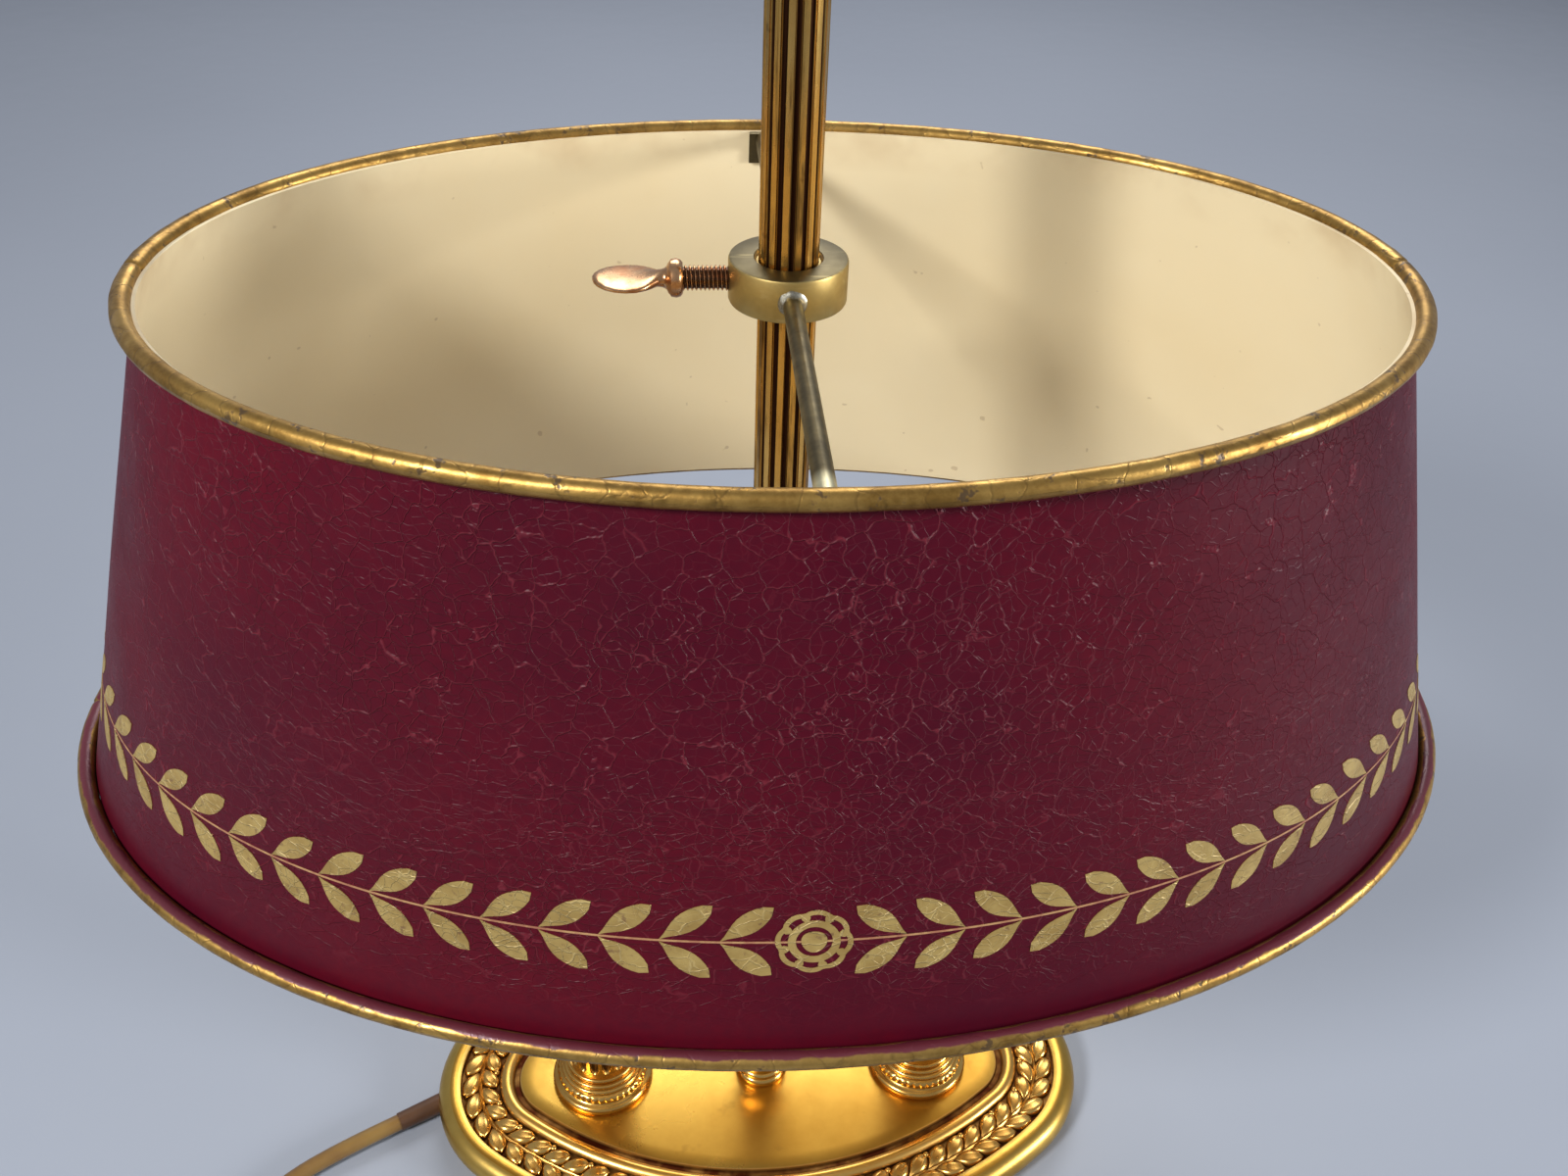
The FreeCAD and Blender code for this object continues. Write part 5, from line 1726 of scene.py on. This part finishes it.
def studio_world():
    """A dim even light, seen as the room's pale colour by the camera and in reflections."""
    world = bpy.data.worlds.new("studio")
    world.use_nodes = True
    tree = world.node_tree
    light = tree.nodes["Background"]
    light.inputs["Color"].default_value = DIM_LIGHT
    light.inputs["Strength"].default_value = ROOM_LIGHT
    room = tree.nodes.new("ShaderNodeBackground")
    room.inputs["Color"].default_value = ROOM_COLOUR
    ray = tree.nodes.new("ShaderNodeLightPath")
    seen = tree.nodes.new("ShaderNodeMath")
    seen.operation = "MAXIMUM"
    tree.links.new(ray.outputs["Is Camera Ray"], seen.inputs[0])
    tree.links.new(ray.outputs["Is Glossy Ray"], seen.inputs[1])
    either = tree.nodes.new("ShaderNodeMixShader")
    tree.links.new(seen.outputs[0], either.inputs[0])
    tree.links.new(light.outputs[0], either.inputs[1])
    tree.links.new(room.outputs[0], either.inputs[2])
    tree.links.new(either.outputs[0], tree.nodes["World Output"].inputs["Surface"])
    return world


def soft_light(name, place, size, power):
    """A round lamp that points at the middle of the object."""
    light = bpy.data.lights.new(name, "AREA")
    light.shape = "DISK"
    light.size = size
    light.energy = power
    lamp = bpy.data.objects.new(name, light)
    bpy.context.scene.collection.objects.link(lamp)
    lamp.location = place
    lamp.rotation_mode = "QUATERNION"
    lamp.rotation_quaternion = (AIM - Vector(place)).to_track_quat("-Z", "Y")


class LAMP_OT_cord(bpy.types.Operator):
    """Lays the cord from the base to its switch, and from the switch to its coil and plug"""

    bl_idname = "lamp.cord"
    bl_label = "Cord, Switch and Plug"

    def execute(self, context):
        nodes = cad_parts
        switch_housing()
        plug_piece = plug()
        coat("brown_plastic", "cord_bushing")
        coat("cord", "cord_entry")
        coat("black_resin", "rocker_bearing", "switch_rocker")
        coat("pin_plate", "plug_pins")
        free_cord(
            "lead",
            LEAD_ROUTE,
            ["cord_lead"],
            length=0.2136,
            far_end="fitting",
            lay="loose",
            with_pieces=[
                nodes["cord_bushing"],
                "switch_tray",
                "switch_cover_moulded",
                nodes["switch_rocker"],
            ],
        )
        free_cord(
            "coiled_cord",
            MIDDLE_ROUTE + coil_points() + TAIL_ROUTE,
            ["cord_middle", "cord_coil", "cord_tail"],
            length=1.5157,
            far_end="plug",
            lay="coiled",
            with_pieces=[plug_piece, nodes["plug_pins"]],
        )
        return {"FINISHED"}


class LAMP_OT_shade(bpy.types.Operator):
    """Makes the painted sheet and its two gold beads"""

    bl_idname = "lamp.shade"
    bl_label = "Shade"

    def execute(self, context):
        shade_skin()
        rim("shade_bead_top_rim", WALL_TOP_LONG, WALL_TOP_SHORT, WALL_TOP_Z, "rim_upper")
        rim("shade_bead_bottom_rim", WALL_LOW_LONG, WALL_LOW_SHORT, WALL_LOW_Z, "rim_lower")
        return {"FINISHED"}


class LAMP_OT_garland(bpy.types.Operator):
    """Paints the garland and its two rosettes on the shade"""

    bl_idname = "lamp.garland"
    bl_label = "Garland"

    def execute(self, context):
        garland()
        return {"FINISHED"}


class LAMP_OT_carrier(bpy.types.Operator):
    """Makes the collar, its solder and the thumb screw"""

    bl_idname = "lamp.carrier"
    bl_label = "Collar and Thumb Screw"

    def execute(self, context):
        collar_ring()
        thumb_screw()
        coat("arm_brass", "shade_arm_front", "shade_arm_back")
        coat("plain_brass", "collar_liner", "clamp_shoe")
        for name, side in (("front", -1), ("back", 1)):
            solder_fillet("solder_root_" + name, side, COLLAR_RADIUS - 0.3 * MM, 2.4 * MM, 0.5)
        return {"FINISHED"}


class LAMP_OT_stem(bpy.types.Operator):
    """Finishes the stem, its foot, cap and finial"""

    bl_idname = "lamp.stem"
    bl_label = "Stem"

    def execute(self, context):
        coat("stem_gilt", "stem_tube")
        coat("turned_gilt", "stem_cap", "finial")
        coat("steel", "tie_rod", "stem_nut")
        stem_foot_ring()
        return {"FINISHED"}


class LAMP_OT_columns(bpy.types.Operator):
    """Makes the fluted columns and finishes the candle sleeves and lamp holders"""

    bl_idname = "lamp.columns"
    bl_label = "Columns and Candles"

    def execute(self, context):
        for side, x in (("left", -COLUMN_X), ("right", COLUMN_X)):
            column_foot(side, x)
            column_shaft(side, x)
        coat("turned_gilt", *both("column_capital"), *both("drip_pan"))
        coat("ivory_card", *both("candle_sleeve"))
        coat("black_resin", *both("lamp_holder"))
        coat("plain_brass", *both("lamp_shell"), *both("lamp_contact"))
        coat("steel", *both("column_pipe"), *both("column_nuts"))
        coat("wire_sheath", *both("feed_wire"))
        return {"FINISHED"}


class LAMP_OT_base(bpy.types.Operator):
    """Makes the oval base and its laurel border"""

    bl_idname = "lamp.base"
    bl_label = "Base"

    def execute(self, context):
        base_casting()
        laurel()
        coat("felt", "felt_pad")
        coat("steel", "base_cover", "cover_screws")
        coat("cast_iron", "ballast")
        coat("black_resin", "terminal_block")
        return {"FINISHED"}


OPERATORS = (
    LAMP_OT_stage,
    LAMP_OT_cord,
    LAMP_OT_shade,
    LAMP_OT_garland,
    LAMP_OT_carrier,
    LAMP_OT_stem,
    LAMP_OT_columns,
    LAMP_OT_base,
)


class LAMP_PT_looks(bpy.types.Panel):
    """Lists the steps, sizes and colours of the lamp"""

    bl_idname = "LAMP_PT_looks"
    bl_label = "Bouillotte Lamp"
    bl_space_type = "VIEW_3D"
    bl_region_type = "UI"
    bl_category = "Lamp"

    def draw(self, context):
        for group in (context.scene.lamp_sizes, context.scene.lamp_colours):
            box = self.layout.box()
            for name in group.__annotations__:
                box.prop(group, name)
        for operator in OPERATORS:
            self.layout.operator(operator.bl_idname)


CLASSES = (LampSizes, LampColours, *OPERATORS, LAMP_PT_looks)


def register():
    for cls in CLASSES:
        bpy.utils.register_class(cls)
    bpy.types.Scene.lamp_sizes = bpy.props.PointerProperty(type=LampSizes)
    bpy.types.Scene.lamp_colours = bpy.props.PointerProperty(type=LampColours)


def unregister():
    del bpy.types.Scene.lamp_colours
    del bpy.types.Scene.lamp_sizes
    for cls in reversed(CLASSES):
        bpy.utils.unregister_class(cls)


def main():
    """Registers the add-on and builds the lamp."""
    register()
    bpy.ops.lamp.stage()
    bpy.ops.lamp.cord()
    bpy.ops.lamp.shade()
    bpy.ops.lamp.garland()
    bpy.ops.lamp.carrier()
    bpy.ops.lamp.stem()
    bpy.ops.lamp.columns()
    bpy.ops.lamp.base()


if __name__ == "__main__":
    main()
